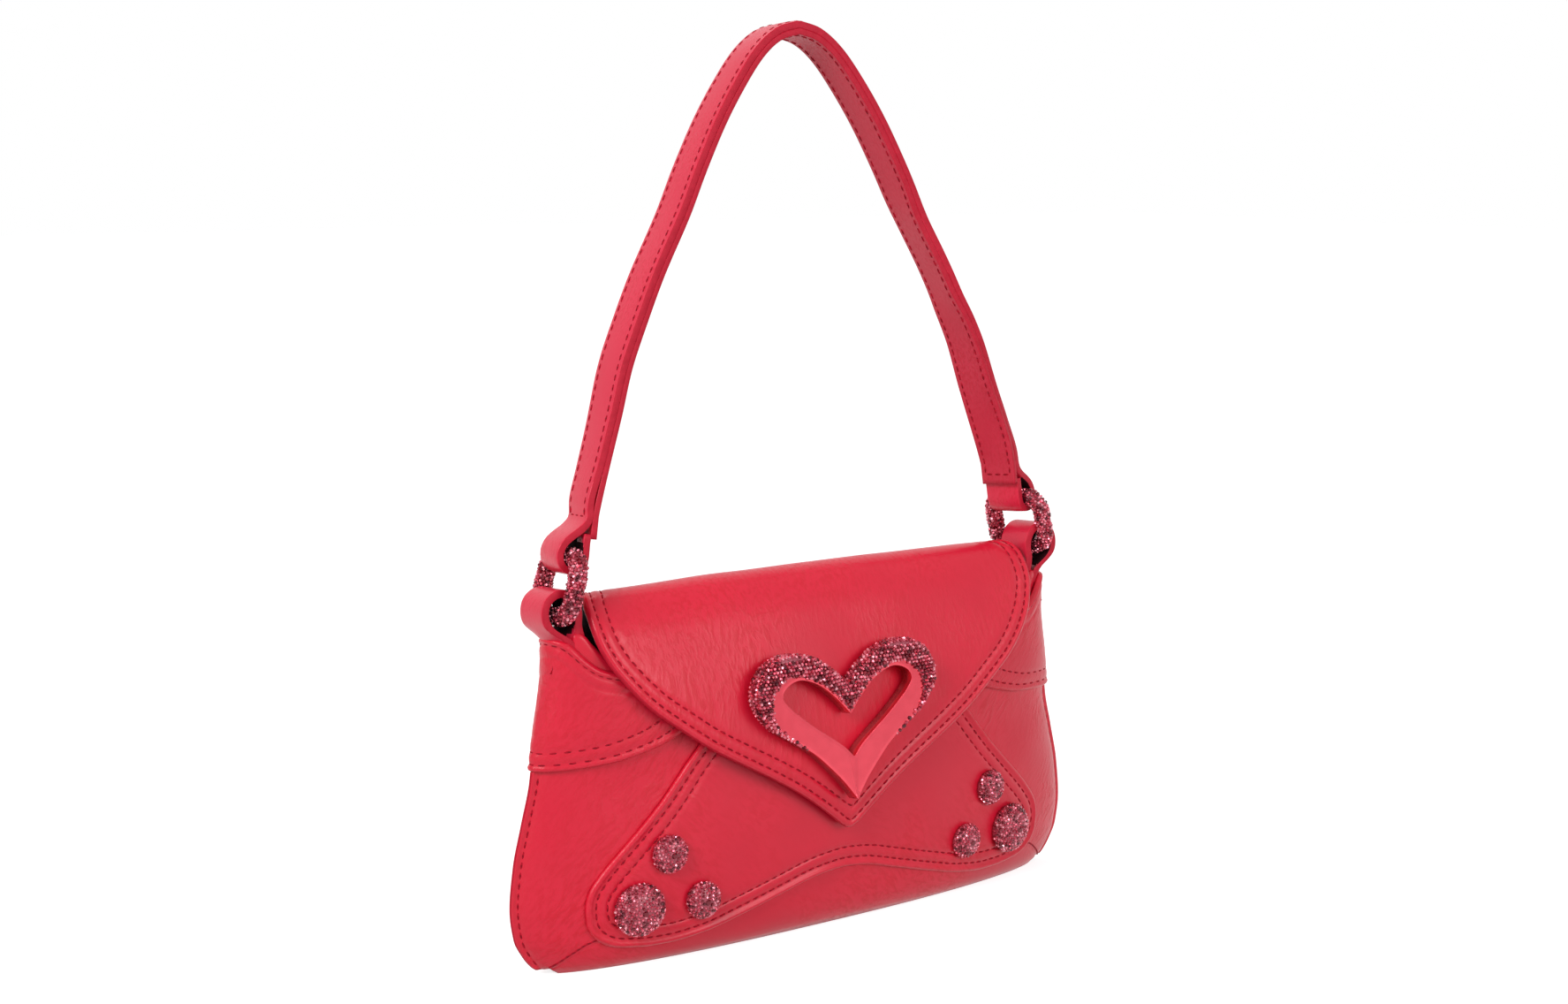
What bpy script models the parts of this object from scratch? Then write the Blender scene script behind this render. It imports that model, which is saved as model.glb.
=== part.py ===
# Small shoulder bag: leather body, envelope flap with a heart ornament, studs, rings and a strap.
# Metres, +Z up. The origin is the centre of the base and the front faces -Y.

import math

import bmesh
import bpy
from mathutils import Matrix, Vector

MM = 0.001

# Body
BODY_LENGTH = 252 * MM
BODY_DEPTH = 40 * MM
BODY_HEIGHT = 115.5 * MM
PANEL_WALL = 1.5 * MM
LAYER_GAP = 0.4 * MM
SEAM_GAP = 0.3 * MM
WELD = 0.01 * MM
FRONT_TOP_DROP = 17.5 * MM
FRONT_TOP = BODY_HEIGHT - FRONT_TOP_DROP
SEAM_HEIGHT = 27 * MM
BACK_SEAM_HEIGHT = 9 * MM
YOKE_WALL = 1.5 * MM
YOKE_DROP = 42.5 * MM
YOKE_LOW = BODY_HEIGHT - YOKE_DROP
YOKE_RISE = 16 * MM
YOKE_GROW = 0.6 * MM
LIP_WIDTH = 2.6 * MM
LIP_FADE = 8 * MM
LIP_DROP = 16 * MM
LIP_TOP = YOKE_LOW - LIP_DROP

# Front overlay
OVERLAY_WALL = 1.3 * MM
OVERLAY_MARGIN = 21.3 * MM
OVERLAY_HALF = BODY_LENGTH / 2 - OVERLAY_MARGIN
OVERLAY_LOW = 7.5 * MM
OVERLAY_DROP = 23.5 * MM
OVERLAY_TALL = BODY_HEIGHT - OVERLAY_DROP - OVERLAY_LOW
OVERLAY_ARCH = 15.5 * MM
OVERLAY_ARCH_TALL = 42 * MM

# Inside
TONGUE_WALL = PANEL_WALL + SEAM_GAP
TONGUE_GROW = YOKE_GROW / 4
FACING_WALL = 1.2 * MM
FACING_DROP = 29.5 * MM
FACING_LOW = BODY_HEIGHT - FACING_DROP
FACING_INSET = TONGUE_WALL + SEAM_GAP
SIDE_SLACK = 1.8 * MM
LINING_WALL = 0.8 * MM
LINING_SLACK = 0.5 * MM
LINING_INSET = FACING_INSET + FACING_WALL + LINING_SLACK
LINING_DROP = 20.5 * MM
LINING_TOP = BODY_HEIGHT - LINING_DROP
BOARD_WALL = 1.4 * MM
BOARD_SLACK = 1.5 * MM
BOARD_SIDE_SLACK = 11.5 * MM
POCKET_LOW = 34 * MM
POCKET_TALL = 48 * MM
POCKET_WALL = 0.8 * MM

# Tabs and their tilt
TAB_INSET = 2 * MM
TAB_RADIUS = 8.2 * MM
TAB_WALL = 1.8 * MM
TAB_NECK = 2 * MM
TILT_RISE = 3.65 * MM
TILT_HEIGHT = BODY_HEIGHT + TILT_RISE
HANDLE_LEAN = math.radians(-3.9)
TONGUE_TALL = 20 * MM
TONGUE_TOP = TILT_HEIGHT - SEAM_GAP / 2
TONGUE_LOW = TONGUE_TOP - TONGUE_TALL
TONGUE_BEVEL = 3.6 * MM

# Flap
FLAP_LEATHER = 1.2 * MM
FLAP_FILLER = 0.8 * MM
FLAP_LINING = 1 * MM
FLAP_STACK = FLAP_LEATHER + FLAP_FILLER + FLAP_LINING + SEAM_GAP * 2
FLAP_SLACK = 1.9 * MM
FLAP_FRONT = BODY_DEPTH / 2 + LAYER_GAP + OVERLAY_WALL + FLAP_SLACK + FLAP_STACK
FLAP_RISE = 17.9 * MM
FLAP_PEAK = BODY_HEIGHT + FLAP_RISE
FLAP_TIP_SHARE = 0.336
FLAP_TIP = BODY_HEIGHT * FLAP_TIP_SHARE
FLAP_TIP_HALF = 1.5 * MM
FLAP_SIDE_GAP = 0.6 * MM
FILLER_INSET = 7 * MM
LINING_EDGE = 0.5 * MM

# Magnetic snap
SNAP_SHARE = 0.5195
SNAP_HEIGHT = BODY_HEIGHT * SNAP_SHARE
SNAP_RADIUS = 7 * MM
SNAP_SEAT = 0.6 * MM
SNAP_CAP = 0.7 * MM
SNAP_POST_RADIUS = 1.6 * MM
SNAP_WASHER_RADIUS = 6 * MM
WASHER_WALL = 0.8 * MM

# Studs
STUD_LARGE_RADIUS = 9.8 * MM
STUD_LARGE_RISE = 6.5 * MM
STUD_SMALL_RADIUS = 7 * MM
STUD_SMALL_RISE = 5 * MM
STUD_RIM = 1 * MM
STUD_POST_RADIUS = 1.5 * MM
STUD_NUT_RADIUS = 3.6 * MM
STUD_NUT_WALL = 0.9 * MM
STUD_LARGE_INSET = 18.7 * MM
STUD_LARGE_Z = 22.3 * MM
STUD_UPPER_INSET = 30.4 * MM
STUD_UPPER_Z = 40.6 * MM
STUD_INNER_INSET = 43.4 * MM
STUD_INNER_Z = 22 * MM

# Heart ornament
HEART_HALF = 41.5 * MM
HEART_TALL = 55 * MM
HEART_WALL = 4.4 * MM
HEART_BEVEL = 0.8 * MM
HEART_STANDOFF = 0.5 * MM
HEART_X = -1.5 * MM
HEART_RISE = 12.2 * MM
HEART_TIP_Z = FLAP_TIP + HEART_RISE
HEART_LEAN = math.radians(8.5)
BED_WALL = 1.4 * MM
SCREW_RADIUS = 1.3 * MM
SCREW_HEAD_RADIUS = 2.6 * MM
SCREW_HEAD = 0.4 * MM
SCREW_COVER = 2 * MM
SCREW_BITE = HEART_WALL - SCREW_COVER

# Rings and strap
BAR_RADIUS = 2.6 * MM
RING_REACH = 21.2 * MM
RING_LEAN = math.radians(22)
STRAP_WIDTH = 14 * MM
RING_PLAY = 0.8 * MM
RING_HALF_WIDTH = STRAP_WIDTH / 2 + RING_PLAY + BAR_RADIUS
RING_INNER_CORNER = 1 * MM
RING_CORNER = BAR_RADIUS + RING_INNER_CORNER
STRAP_OUTER_WALL = 1.3 * MM
STRAP_TAPE_WALL = 0.5 * MM
STRAP_TAPE_INSET = 2.5 * MM
STRAP_LINING_WALL = 1.2 * MM
STRAP_TALL = 162.4 * MM
STRAP_SHOULDER = 7.07 * MM
STRAP_SHOULDER_RISE = 19.7 * MM
STRAP_LOOP_RADIUS = 6.35 * MM

HOLE_CLEARANCE = 0.3 * MM
OVERRUN = 2 * MM

# Body profile, as shares of the height, the half length and the half depth
LEVEL_SHARES = (0, 0.026, 0.069, 0.121, 0.216, 0.346, 0.476, 0.606, 0.658, 0.745, 0.831, 0.918, 1)
WIDTH_SHARES = (0.897, 0.933, 0.964, 0.988, 1, 0.988, 0.96, 0.932, 0.934, 0.915, 0.898, 0.885, 0.881)
DEPTH_SHARES = (0.675, 0.825, 0.925, 0.975, 1, 1, 0.965, 0.89, 0.855, 0.785, 0.72, 0.69, 0.67)
SQUARE_LEVEL_SHARES = (0, 0.52, 0.65, 0.78, 0.87, 1)
SQUARENESS = (2.5, 2.5, 2.9, 4, 5, 6)
BLUNTNESS = (0.6, 0.6, 0.58, 0.5, 0.47, 0.45)

# Edges of the panels, as shares against the quarter turn from the middle of the front or back
SEAM_TURN_SHARES = (0, 0.083, 0.167, 0.25, 0.333, 0.417, 0.5, 0.583, 0.667, 0.75, 0.833, 0.917, 1)
SEAM_SHARES = (1, 0.83, 0.655, 0.507, 0.437, 0.444, 0.493, 0.426, 0.3, 0.19, 0.115, 0.085, 0.08)
BACK_SEAM_SHARES = (1, 1, 1, 1, 1, 1, 1, 0.98, 0.85, 0.57, 0.345, 0.255, 0.24)
FRONT_TOP_TURN_SHARES = (0, 0.17, 0.33, 0.5, 0.67, 1)
FRONT_TOP_SHARES = (0.98, 0.995, 1, 0.99, 0.97, 0.97)
BACK_TOP_TURN_SHARES = (0, 0.4, 0.52, 0.64, 1)
BACK_TOP_SHARES = (0.931, 0.931, 0.893, 0.822, 0.822)
MOUTH_TURN_SHARES = (0, 0.17, 0.33, 0.5, 0.61, 0.7, 1)
MOUTH_FRONT_SHARES = (0.831, 0.844, 0.861, 0.905, 0.953, 1, 1)
MOUTH_BACK_SHARES = (0.931, 0.931, 0.931, 0.931, 0.96, 1, 1)
YOKE_TURN_SHARES = (0.167, 0.25, 0.333, 0.417, 0.5, 0.667, 0.833, 1)
YOKE_SHARES = (1, 0.625, 0.375, 0.22, 0.11, 0.03, 0, 0)

# Overlay outline: height up the overlay against half its width
OVERLAY_RISE_SHARES = (0, 0.018, 0.053, 0.1, 0.151, 0.219, 0.278, 0.334, 0.385, 0.456, 0.527, 0.61,
                       0.704, 0.781, 1)
OVERLAY_WIDTH_SHARES = (0.783, 0.893, 0.953, 0.987, 0.998, 1, 0.984, 0.95, 0.912, 0.853, 0.793, 0.726,
                        0.659, 0.607, 0.44)
ARCH_X_SHARES = (0, 0.096, 0.258, 0.415, 0.573, 0.712, 0.783, 1)
ARCH_SHARES = (1, 0.935, 0.66, 0.37, 0.11, 0, 0, 0)

# Flap profile from the hinge over the top to the tip: depth and height shares with the half width
FLAP_DEPTH_SHARES = (0.59, 0.58, 0.53, 0.42, 0.26, 0.07, -0.12, -0.275, -0.4, -0.505, -0.61, -0.71,
                     -0.795, -0.865, -0.92, -0.965, -0.99, -1, -1, -0.985)
FLAP_HEIGHT_SHARES = (0.7312, 0.8107, 0.8839, 0.939, 0.978, 1, 0.9915, 0.9567, 0.9068, 0.85, 0.7643,
                      0.6713, 0.5784, 0.4854, 0.4028, 0.3202, 0.2479, 0.1704, 0.093, 0)
FLAP_WIDTH_SHARES = (0.9, 0.905, 0.912, 0.922, 0.937, 0.957, 0.975, 0.99, 0.996, 0.992, 0.962, 0.903,
                     0.822, 0.708, 0.597, 0.463, 0.342, 0.223, 0.123, 0.015)

# Heart outlines, half of each, from the cleft round to the tip
HEART_OUTER_SHARES = ((0, 0.765), (0.15, 0.86), (0.34, 0.955), (0.56, 1), (0.76, 0.985), (0.92, 0.91),
                      (1, 0.79), (0.99, 0.665), (0.9, 0.53), (0.74, 0.4), (0.53, 0.275), (0.3, 0.155),
                      (0.12, 0.055), (0, 0))
HEART_INNER_SHARES = ((0, 0.565), (0.16, 0.69), (0.33, 0.785), (0.52, 0.832), (0.67, 0.8), (0.735, 0.71),
                      (0.7, 0.61), (0.56, 0.5), (0.36, 0.39), (0.16, 0.3), (0, 0.25))
LOBE_SCREW_SHARES = (0.853, 0.69)
TIP_SCREW_SHARE = 0.155
BED_OUTER_SHARES = ((0, 0.72), (0.13, 0.82), (0.33, 0.915), (0.56, 0.96), (0.74, 0.945), (0.88, 0.88),
                    (0.945, 0.78), (0.935, 0.675), (0.85, 0.545), (0.7, 0.425), (0.5, 0.3), (0.36, 0.23))
BED_INNER_SHARES = ((0.36, 0.26), (0.5, 0.345), (0.68, 0.475), (0.78, 0.58), (0.83, 0.7), (0.79, 0.82),
                    (0.66, 0.87), (0.5, 0.88), (0.31, 0.83), (0.14, 0.74), (0, 0.62))

# Strap outer face from the top of the arch down one side, and its loop, as shares
STRAP_X_SHARES = (0, 0.101, 0.197, 0.293, 0.394, 0.4925, 0.577, 0.697, 0.781, 0.853, 0.905, 0.957, 1, 1.024)
STRAP_Z_SHARES = (1, 0.984, 0.943, 0.876, 0.79, 0.688, 0.591, 0.471, 0.372, 0.274, 0.167, 0.07, 0, -0.04)
LOOP_SHARES = ((-0.55, 2.06), (0.21, 1.46), (0.82, 0.8), (1, 0.08), (0.71, -0.68), (0, -1), (-0.7, -0.69),
               (-1, 0.13), (-0.98, 0.8), (-1.02, 1.35))

COLUMN_STEP = math.radians(7.5)
HALF_TURN = math.pi
QUARTER_TURN = math.pi / 2
TONGUE_TURN = COLUMN_STEP * 4


def interpolate(value, keys, results):
    """Straight-line reading of a table."""
    if value <= keys[0]:
        return results[0]
    for low, high, first, last in zip(keys, keys[1:], results, results[1:]):
        if value <= high:
            return first + (last - first) * (value - low) / (high - low)
    return results[-1]


def body_section(z, grow=0, grow_side=None):
    """Half length, half depth and the two exponents of the body's section at one height."""
    share = z / BODY_HEIGHT
    side = grow if grow_side is None else grow_side
    half_length = BODY_LENGTH / 2 * interpolate(share, LEVEL_SHARES, WIDTH_SHARES) + side
    half_depth = BODY_DEPTH / 2 * interpolate(share, LEVEL_SHARES, DEPTH_SHARES) + grow
    square = interpolate(share, SQUARE_LEVEL_SHARES, SQUARENESS)
    blunt = interpolate(share, SQUARE_LEVEL_SHARES, BLUNTNESS)
    return half_length, half_depth, square, blunt


def body_point(angle, z, grow=0, grow_side=None):
    """Point on the body at one height; the angle runs from +X over +Y, as seen from above."""
    half_length, half_depth, square, blunt = body_section(z, grow, grow_side)
    across, along = math.cos(angle), math.sin(angle)
    x = math.copysign(half_length * abs(across) ** (2 / square), across)
    y = math.copysign(half_depth * abs(along) ** (2 * blunt), along)
    return Vector((x, y, z))


def front_point(x, z, grow=0):
    """Point on the body's front at one place along it."""
    half_length, half_depth, square, blunt = body_section(z, grow)
    share = min(abs(x) / half_length, 1)
    return Vector((x, -half_depth * (1 - share ** square) ** blunt, z))


def turn_from_middle(angle):
    """Share of a quarter turn between a place and the middle of the front or back."""
    return 1 - abs(math.atan2(abs(math.sin(angle)), abs(math.cos(angle)))) / QUARTER_TURN


def is_front(angle):
    return math.sin(angle) < 0


def mouth_height(angle):
    shares = MOUTH_FRONT_SHARES if is_front(angle) else MOUTH_BACK_SHARES
    return BODY_HEIGHT * interpolate(turn_from_middle(angle), MOUTH_TURN_SHARES, shares)


def seam_height(angle):
    turn = turn_from_middle(angle)
    if is_front(angle):
        return SEAM_HEIGHT * interpolate(turn, SEAM_TURN_SHARES, SEAM_SHARES)
    return BACK_SEAM_HEIGHT * interpolate(turn, SEAM_TURN_SHARES, BACK_SEAM_SHARES)


def panel_top(angle):
    turn = turn_from_middle(angle)
    if is_front(angle):
        return FRONT_TOP * interpolate(turn, FRONT_TOP_TURN_SHARES, FRONT_TOP_SHARES)
    return BODY_HEIGHT * interpolate(turn, BACK_TOP_TURN_SHARES, BACK_TOP_SHARES)


# Scene and materials

def clear_scene():
    for item in list(bpy.data.objects):
        bpy.data.objects.remove(item, do_unlink=True)


def make_collection(name):
    collection = bpy.data.collections.new(name)
    bpy.context.scene.collection.children.link(collection)
    return collection


def make_material(name, colour, roughness, metallic):
    material = bpy.data.materials.new(name)
    material.use_nodes = True
    shader = material.node_tree.nodes["Principled BSDF"]
    shader.inputs["Base Color"].default_value = (*colour, 1)
    shader.inputs["Roughness"].default_value = roughness
    shader.inputs["Metallic"].default_value = metallic
    material.diffuse_color = (*colour, 1)
    return material


clear_scene()
BAG = make_collection("mini_bag")
CUTTERS = make_collection("cutters")
LEATHER = make_material("red_leather", (0.62, 0.03, 0.06), 0.38, 0)
TEXTILE = make_material("black_textile", (0.01, 0.01, 0.012), 0.85, 0)
FILLER = make_material("pale_filler", (0.55, 0.52, 0.48), 0.9, 0)
RED_METAL = make_material("red_enamelled_metal", (0.55, 0.02, 0.04), 0.2, 0.8)
CRYSTAL = make_material("red_crystal", (0.3, 0.01, 0.03), 0.1, 0.2)
STEEL = make_material("plated_steel", (0.6, 0.6, 0.62), 0.3, 1)


def place(name, mesh_or_curve, material, collection=None):
    thing = bpy.data.objects.new(name, mesh_or_curve)
    (collection or BAG).objects.link(thing)
    if material:
        thing.data.materials.append(material)
    return thing


def finish_mesh(name, bm, material, collection=None):
    mesh = bpy.data.meshes.new(name)
    bm.normal_update()
    bm.to_mesh(mesh)
    bm.free()
    mesh.shade_smooth()
    return place(name, mesh, material, collection)


def sheet(name, columns, rows, surface, wall, outward, material):
    """Leather or cloth sheet: a grid laid on a surface and given its wall."""
    bm = bmesh.new()
    bmesh.ops.create_grid(bm, x_segments=columns, y_segments=rows, size=1)
    for vert in bm.verts:
        across = round((vert.co.x + 1) / 2 * columns)
        up = round((vert.co.y + 1) / 2 * rows)
        vert.co = surface(across, up / rows)
    thing = finish_mesh(name, bm, material)
    solidify = thing.modifiers.new("wall", "SOLIDIFY")
    solidify.thickness = wall
    solidify.offset = 1 if outward else -1
    return thing


def cut(thing, cutter):
    """Cut one hole with a cutter that stays hidden."""
    cutter.hide_render = True
    cutter.display_type = "WIRE"
    modifier = thing.modifiers.new("hole", "BOOLEAN")
    modifier.operation = "DIFFERENCE"
    modifier.solver = "EXACT"
    modifier.object = cutter


def make_cylinder(name, radius, start, end, material=None, collection=None, sides=12):
    """Round rod between two points."""
    axis = end - start
    bm = bmesh.new()
    bmesh.ops.create_cone(bm, cap_ends=True, segments=sides, radius1=radius, radius2=radius,
                          depth=axis.length)
    turn = axis.to_track_quat("Z", "Y").to_matrix().to_4x4()
    bmesh.ops.transform(bm, matrix=Matrix.Translation((start + end) / 2) @ turn, verts=bm.verts)
    return finish_mesh(name, bm, material, collection or CUTTERS)


def make_turned(name, profile, material, frame, sides=16):
    """Turned piece: a profile of radius and height, swept about its own axis."""
    bm = bmesh.new()
    verts = [bm.verts.new((radius, 0, height)) for radius, height in profile]
    for first, last in zip(verts, verts[1:]):
        bm.edges.new((first, last))
    if profile[0][0] > 0:
        bm.edges.new((verts[-1], verts[0]))
    thing = finish_mesh(name, bm, material)
    screw = thing.modifiers.new("turn", "SCREW")
    screw.steps = sides
    screw.render_steps = sides
    screw.use_merge_vertices = True
    screw.merge_threshold = WELD
    thing.matrix_world = frame
    return thing


def make_plate(name, outlines, wall, material, frame, bevel=0):
    """Flat plate from one or more closed outlines, centred on its own XY plane."""
    curve = bpy.data.curves.new(name, "CURVE")
    curve.dimensions = "2D"
    curve.fill_mode = "BOTH"
    curve.extrude = wall / 2 - bevel
    curve.bevel_depth = bevel
    curve.bevel_resolution = 0
    curve.offset = -bevel
    for outline in outlines:
        spline = curve.splines.new("POLY")
        spline.points.add(len(outline) - 1)
        for point, (x, y) in zip(spline.points, outline):
            point.co = (x, y, 0, 1)
        spline.use_cyclic_u = True
    thing = place(name, curve, material)
    thing.matrix_world = frame
    return thing


def as_mesh(thing):
    """Turn a curve object into a welded mesh object, so that it can be cut."""
    bpy.context.view_layer.update()
    graph = bpy.context.evaluated_depsgraph_get()
    mesh = bpy.data.meshes.new_from_object(thing.evaluated_get(graph))
    name, matrix = thing.name, thing.matrix_world.copy()
    bm = bmesh.new()
    bm.from_mesh(mesh)
    bmesh.ops.remove_doubles(bm, verts=bm.verts, dist=WELD)
    bm.to_mesh(mesh)
    bm.free()
    bpy.data.objects.remove(thing, do_unlink=True)
    solid = bpy.data.objects.new(name, mesh)
    BAG.objects.link(solid)
    solid.matrix_world = matrix
    return solid


def smooth_path(points, steps):
    """Smooth open path through the given points, with several steps between each pair."""
    ends = [points[0] * 2 - points[1]] + points + [points[-1] * 2 - points[-2]]
    path = []
    for before, first, last, after in zip(ends, ends[1:], ends[2:], ends[3:]):
        for step in range(steps):
            t = step / steps
            path.append(first + (last - before) * (t / 2)
                        + (before * 2 - first * 5 + last * 4 - after) * (t * t / 2)
                        + (first * 3 - before - last * 3 + after) * (t ** 3 / 2))
    path.append(points[-1])
    return path


def offset_path(path, distance):
    """The path moved to its left by a distance."""
    moved = []
    for index, point in enumerate(path):
        before = path[max(index - 1, 0)]
        after = path[min(index + 1, len(path) - 1)]
        along = (after - before).normalized()
        moved.append(point + Vector((-along.y, along.x)) * distance)
    return moved


def face_frame(point, normal, up=Vector((0, 0, 1))):
    """Frame whose Z axis is the outward normal at a point."""
    z_axis = normal.normalized()
    x_axis = up.cross(z_axis).normalized()
    y_axis = z_axis.cross(x_axis)
    turn = Matrix((x_axis, y_axis, z_axis)).transposed().to_4x4()
    return Matrix.Translation(point) @ turn


def front_frame(x, z, grow):
    """Frame on the body's front, facing out."""
    reach = STUD_RIM
    here = front_point(x, z, grow)
    across = front_point(x + reach, z, grow) - front_point(x - reach, z, grow)
    up = front_point(x, z + reach, grow) - front_point(x, z - reach, grow)
    return face_frame(here, across.cross(up))


# Body panels

def panel_columns(middle):
    """Angles across one panel from seam to seam; the first and the last stand for the lips."""
    count = round(HALF_TURN / COLUMN_STEP) - 1
    start = middle - QUARTER_TURN
    return [start + COLUMN_STEP * min(max(index, 1), count) for index in range(count + 2)]


def panel_surface(middle):
    angles = panel_columns(middle)

    def surface(column, up):
        angle = angles[column]
        z = seam_height(angle) + (panel_top(angle) - seam_height(angle)) * up ** 1.25
        point = body_point(angle, z)
        depth = max(abs(point.y), PANEL_WALL + SEAM_GAP / 2)
        point.y = math.copysign(depth, point.y)
        if column in (0, len(angles) - 1):
            lip = LIP_WIDTH * min(max((LIP_TOP + LIP_FADE - z) / LIP_FADE, 0.05), 1)
            point.x += math.copysign(lip, point.x)
        return point

    return surface, len(angles) - 1


def make_panels():
    rows = 9
    for name, middle in (("front_panel", 3 * QUARTER_TURN), ("back_panel", QUARTER_TURN)):
        surface, columns = panel_surface(middle)
        yield sheet(name, columns, rows, surface, PANEL_WALL, False, LEATHER)


def make_bottom():
    count = 20
    rows = 9
    reach = COLUMN_STEP * count / 2

    def surface(column, up):
        angle = 3 * QUARTER_TURN + reach * (column * 2 / count - 1)
        back = -angle
        way = up * 3 - 1
        if way <= 0:
            return body_point(back, (seam_height(back) - LAYER_GAP) * -way)
        if way < 1:
            return body_point(back, 0).lerp(body_point(angle, 0), way)
        return body_point(angle, (seam_height(angle) - LAYER_GAP) * (way - 1))

    return sheet("bottom_panel", count, rows, surface, PANEL_WALL, False, LEATHER)


def make_yoke(name, side):
    columns = 20
    rows = 4
    middle = 0 if side > 0 else HALF_TURN

    def surface(column, up):
        angle = middle + COLUMN_STEP * (column - columns / 2)
        turn = turn_from_middle(angle)
        low = YOKE_LOW + YOKE_RISE * interpolate(turn, YOKE_TURN_SHARES, YOKE_SHARES)
        z = low + (mouth_height(angle) - low) * up
        return body_point(angle, z, YOKE_GROW)

    return sheet(name, columns, rows, surface, YOKE_WALL, True, LEATHER)


def make_overlay():
    columns = 18
    rows = len(OVERLAY_RISE_SHARES) - 1

    def surface(column, up):
        row = round(up * rows)
        rise = OVERLAY_TALL * OVERLAY_RISE_SHARES[row]
        x = OVERLAY_HALF * OVERLAY_WIDTH_SHARES[row] * (column * 2 / columns - 1)
        arch = OVERLAY_ARCH * interpolate(abs(x) / OVERLAY_HALF, ARCH_X_SHARES, ARCH_SHARES)
        lift = arch * max(1 - rise / OVERLAY_ARCH_TALL, 0)
        return front_point(x, OVERLAY_LOW + rise + lift, LAYER_GAP)

    return sheet("front_overlay", columns, rows, surface, OVERLAY_WALL, True, LEATHER)


# Inside of the bag

def ring_sheet(name, count, rows, surface, wall, material, closed_bottom):
    """Sheet that runs once round the bag, with or without a bottom."""
    bm = bmesh.new()
    rings = []
    for row in range(rows + 1):
        rings.append([bm.verts.new(surface(2 * HALF_TURN * index / count, row / rows))
                      for index in range(count)])
    for low, high in zip(rings, rings[1:]):
        for index in range(count):
            after = (index + 1) % count
            bm.faces.new((low[index], low[after], high[after], high[index]))
    if closed_bottom:
        bm.faces.new(list(reversed(rings[0])))
    thing = finish_mesh(name, bm, material)
    solidify = thing.modifiers.new("wall", "SOLIDIFY")
    solidify.thickness = wall
    solidify.offset = -1
    return thing


def make_facing():
    def surface(angle, up):
        z = FACING_LOW + (mouth_height(angle) - SEAM_GAP - FACING_LOW) * up
        return body_point(angle, z, -FACING_INSET, -FACING_INSET - SIDE_SLACK)

    return ring_sheet("mouth_facing", 40, 3, surface, FACING_WALL, LEATHER, False)


def lining_floor():
    return PANEL_WALL + SEAM_GAP + BOARD_WALL + SEAM_GAP


def make_lining():
    def surface(angle, up):
        z = lining_floor() + (LINING_TOP - lining_floor()) * up ** 1.6
        return body_point(angle, z, -LINING_INSET, -LINING_INSET - SIDE_SLACK)

    return ring_sheet("lining", 40, 7, surface, LINING_WALL, TEXTILE, True)


def make_pocket():
    columns = 10
    rows = 4
    inset = LINING_INSET + LINING_WALL + LAYER_GAP

    def surface(column, up):
        angle = QUARTER_TURN + COLUMN_STEP / 2 * (column - columns / 2)
        z = POCKET_LOW + POCKET_TALL * up
        return body_point(angle, z, -inset)

    return sheet("slip_pocket", columns, rows, surface, POCKET_WALL, False, TEXTILE)


def make_board():
    count = 32
    low = PANEL_WALL + SEAM_GAP
    inset = PANEL_WALL + BOARD_SLACK
    side_inset = PANEL_WALL + BOARD_SIDE_SLACK
    corners = [body_point(2 * HALF_TURN * index / count, low, -inset, -side_inset)
               for index in range(count)]
    outline = [(corner.x, corner.y) for corner in corners]
    frame = Matrix.Translation((0, 0, low + BOARD_WALL / 2))
    return make_plate("base_board", [outline], BOARD_WALL, FILLER, frame)


# Flap

def tab_x():
    """Middle of a tab's loop, just inside the bag's side wall."""
    return BODY_LENGTH / 2 * WIDTH_SHARES[-1] - TAB_INSET


def flap_profile():
    """Places on the outer face of the flap, from the hinge to the tip, with their half widths."""
    places = []
    for depth, height, width in zip(FLAP_DEPTH_SHARES, FLAP_HEIGHT_SHARES, FLAP_WIDTH_SHARES):
        z = FLAP_TIP + (FLAP_PEAK - FLAP_TIP) * height
        half = tab_x() - TAB_RADIUS - FLAP_SIDE_GAP
        places.append((Vector((FLAP_FRONT * depth, z)), half * width))
    return places


def flap_layer(name, inset, wall, side_inset, short, material):
    """One layer of the flap: a sheet that is straight from side to side."""
    places = flap_profile()
    path = offset_path([point for point, width in places], inset)
    widths = [width for point, width in places]
    columns = 4
    if short:
        path, widths = path[1:], widths[1:]
    while short and widths[-1] < side_inset * 2:
        path, widths = path[:-1], widths[:-1]
    rows = len(path) - 1

    def surface(column, up):
        row = round(up * rows)
        half = max(widths[row] - side_inset, FLAP_TIP_HALF)
        x = half * (1 - column * 2 / columns)
        return Vector((x, path[row].x, path[row].y))

    return sheet(name, columns, rows, surface, wall, False, material)


def make_flap():
    filler_inset = FLAP_LEATHER + SEAM_GAP
    lining_inset = filler_inset + FLAP_FILLER + SEAM_GAP
    outer = flap_layer("flap_outer", 0, FLAP_LEATHER, 0, False, LEATHER)
    filler = flap_layer("flap_filler", filler_inset, FLAP_FILLER, FILLER_INSET, True, FILLER)
    lining = flap_layer("flap_lining", lining_inset, FLAP_LINING, LINING_EDGE, False, TEXTILE)
    return outer, filler, lining


def flap_at(height):
    """Outer face of the flap's front at one height: its depth and its outward direction."""
    points = [point for point, width in flap_profile()]
    front = [(high, low) for high, low in zip(points, points[1:]) if high.x < 0 and high.y > low.y]
    for high, low in front:
        if low.y <= height <= high.y:
            share = (high.y - height) / (high.y - low.y)
            along = (low - high).normalized()
            return high.x + (low.x - high.x) * share, Vector((0, along.y, -along.x))
    return front[-1][1].x, Vector((0, -1, 0))


# Magnetic snap

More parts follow.
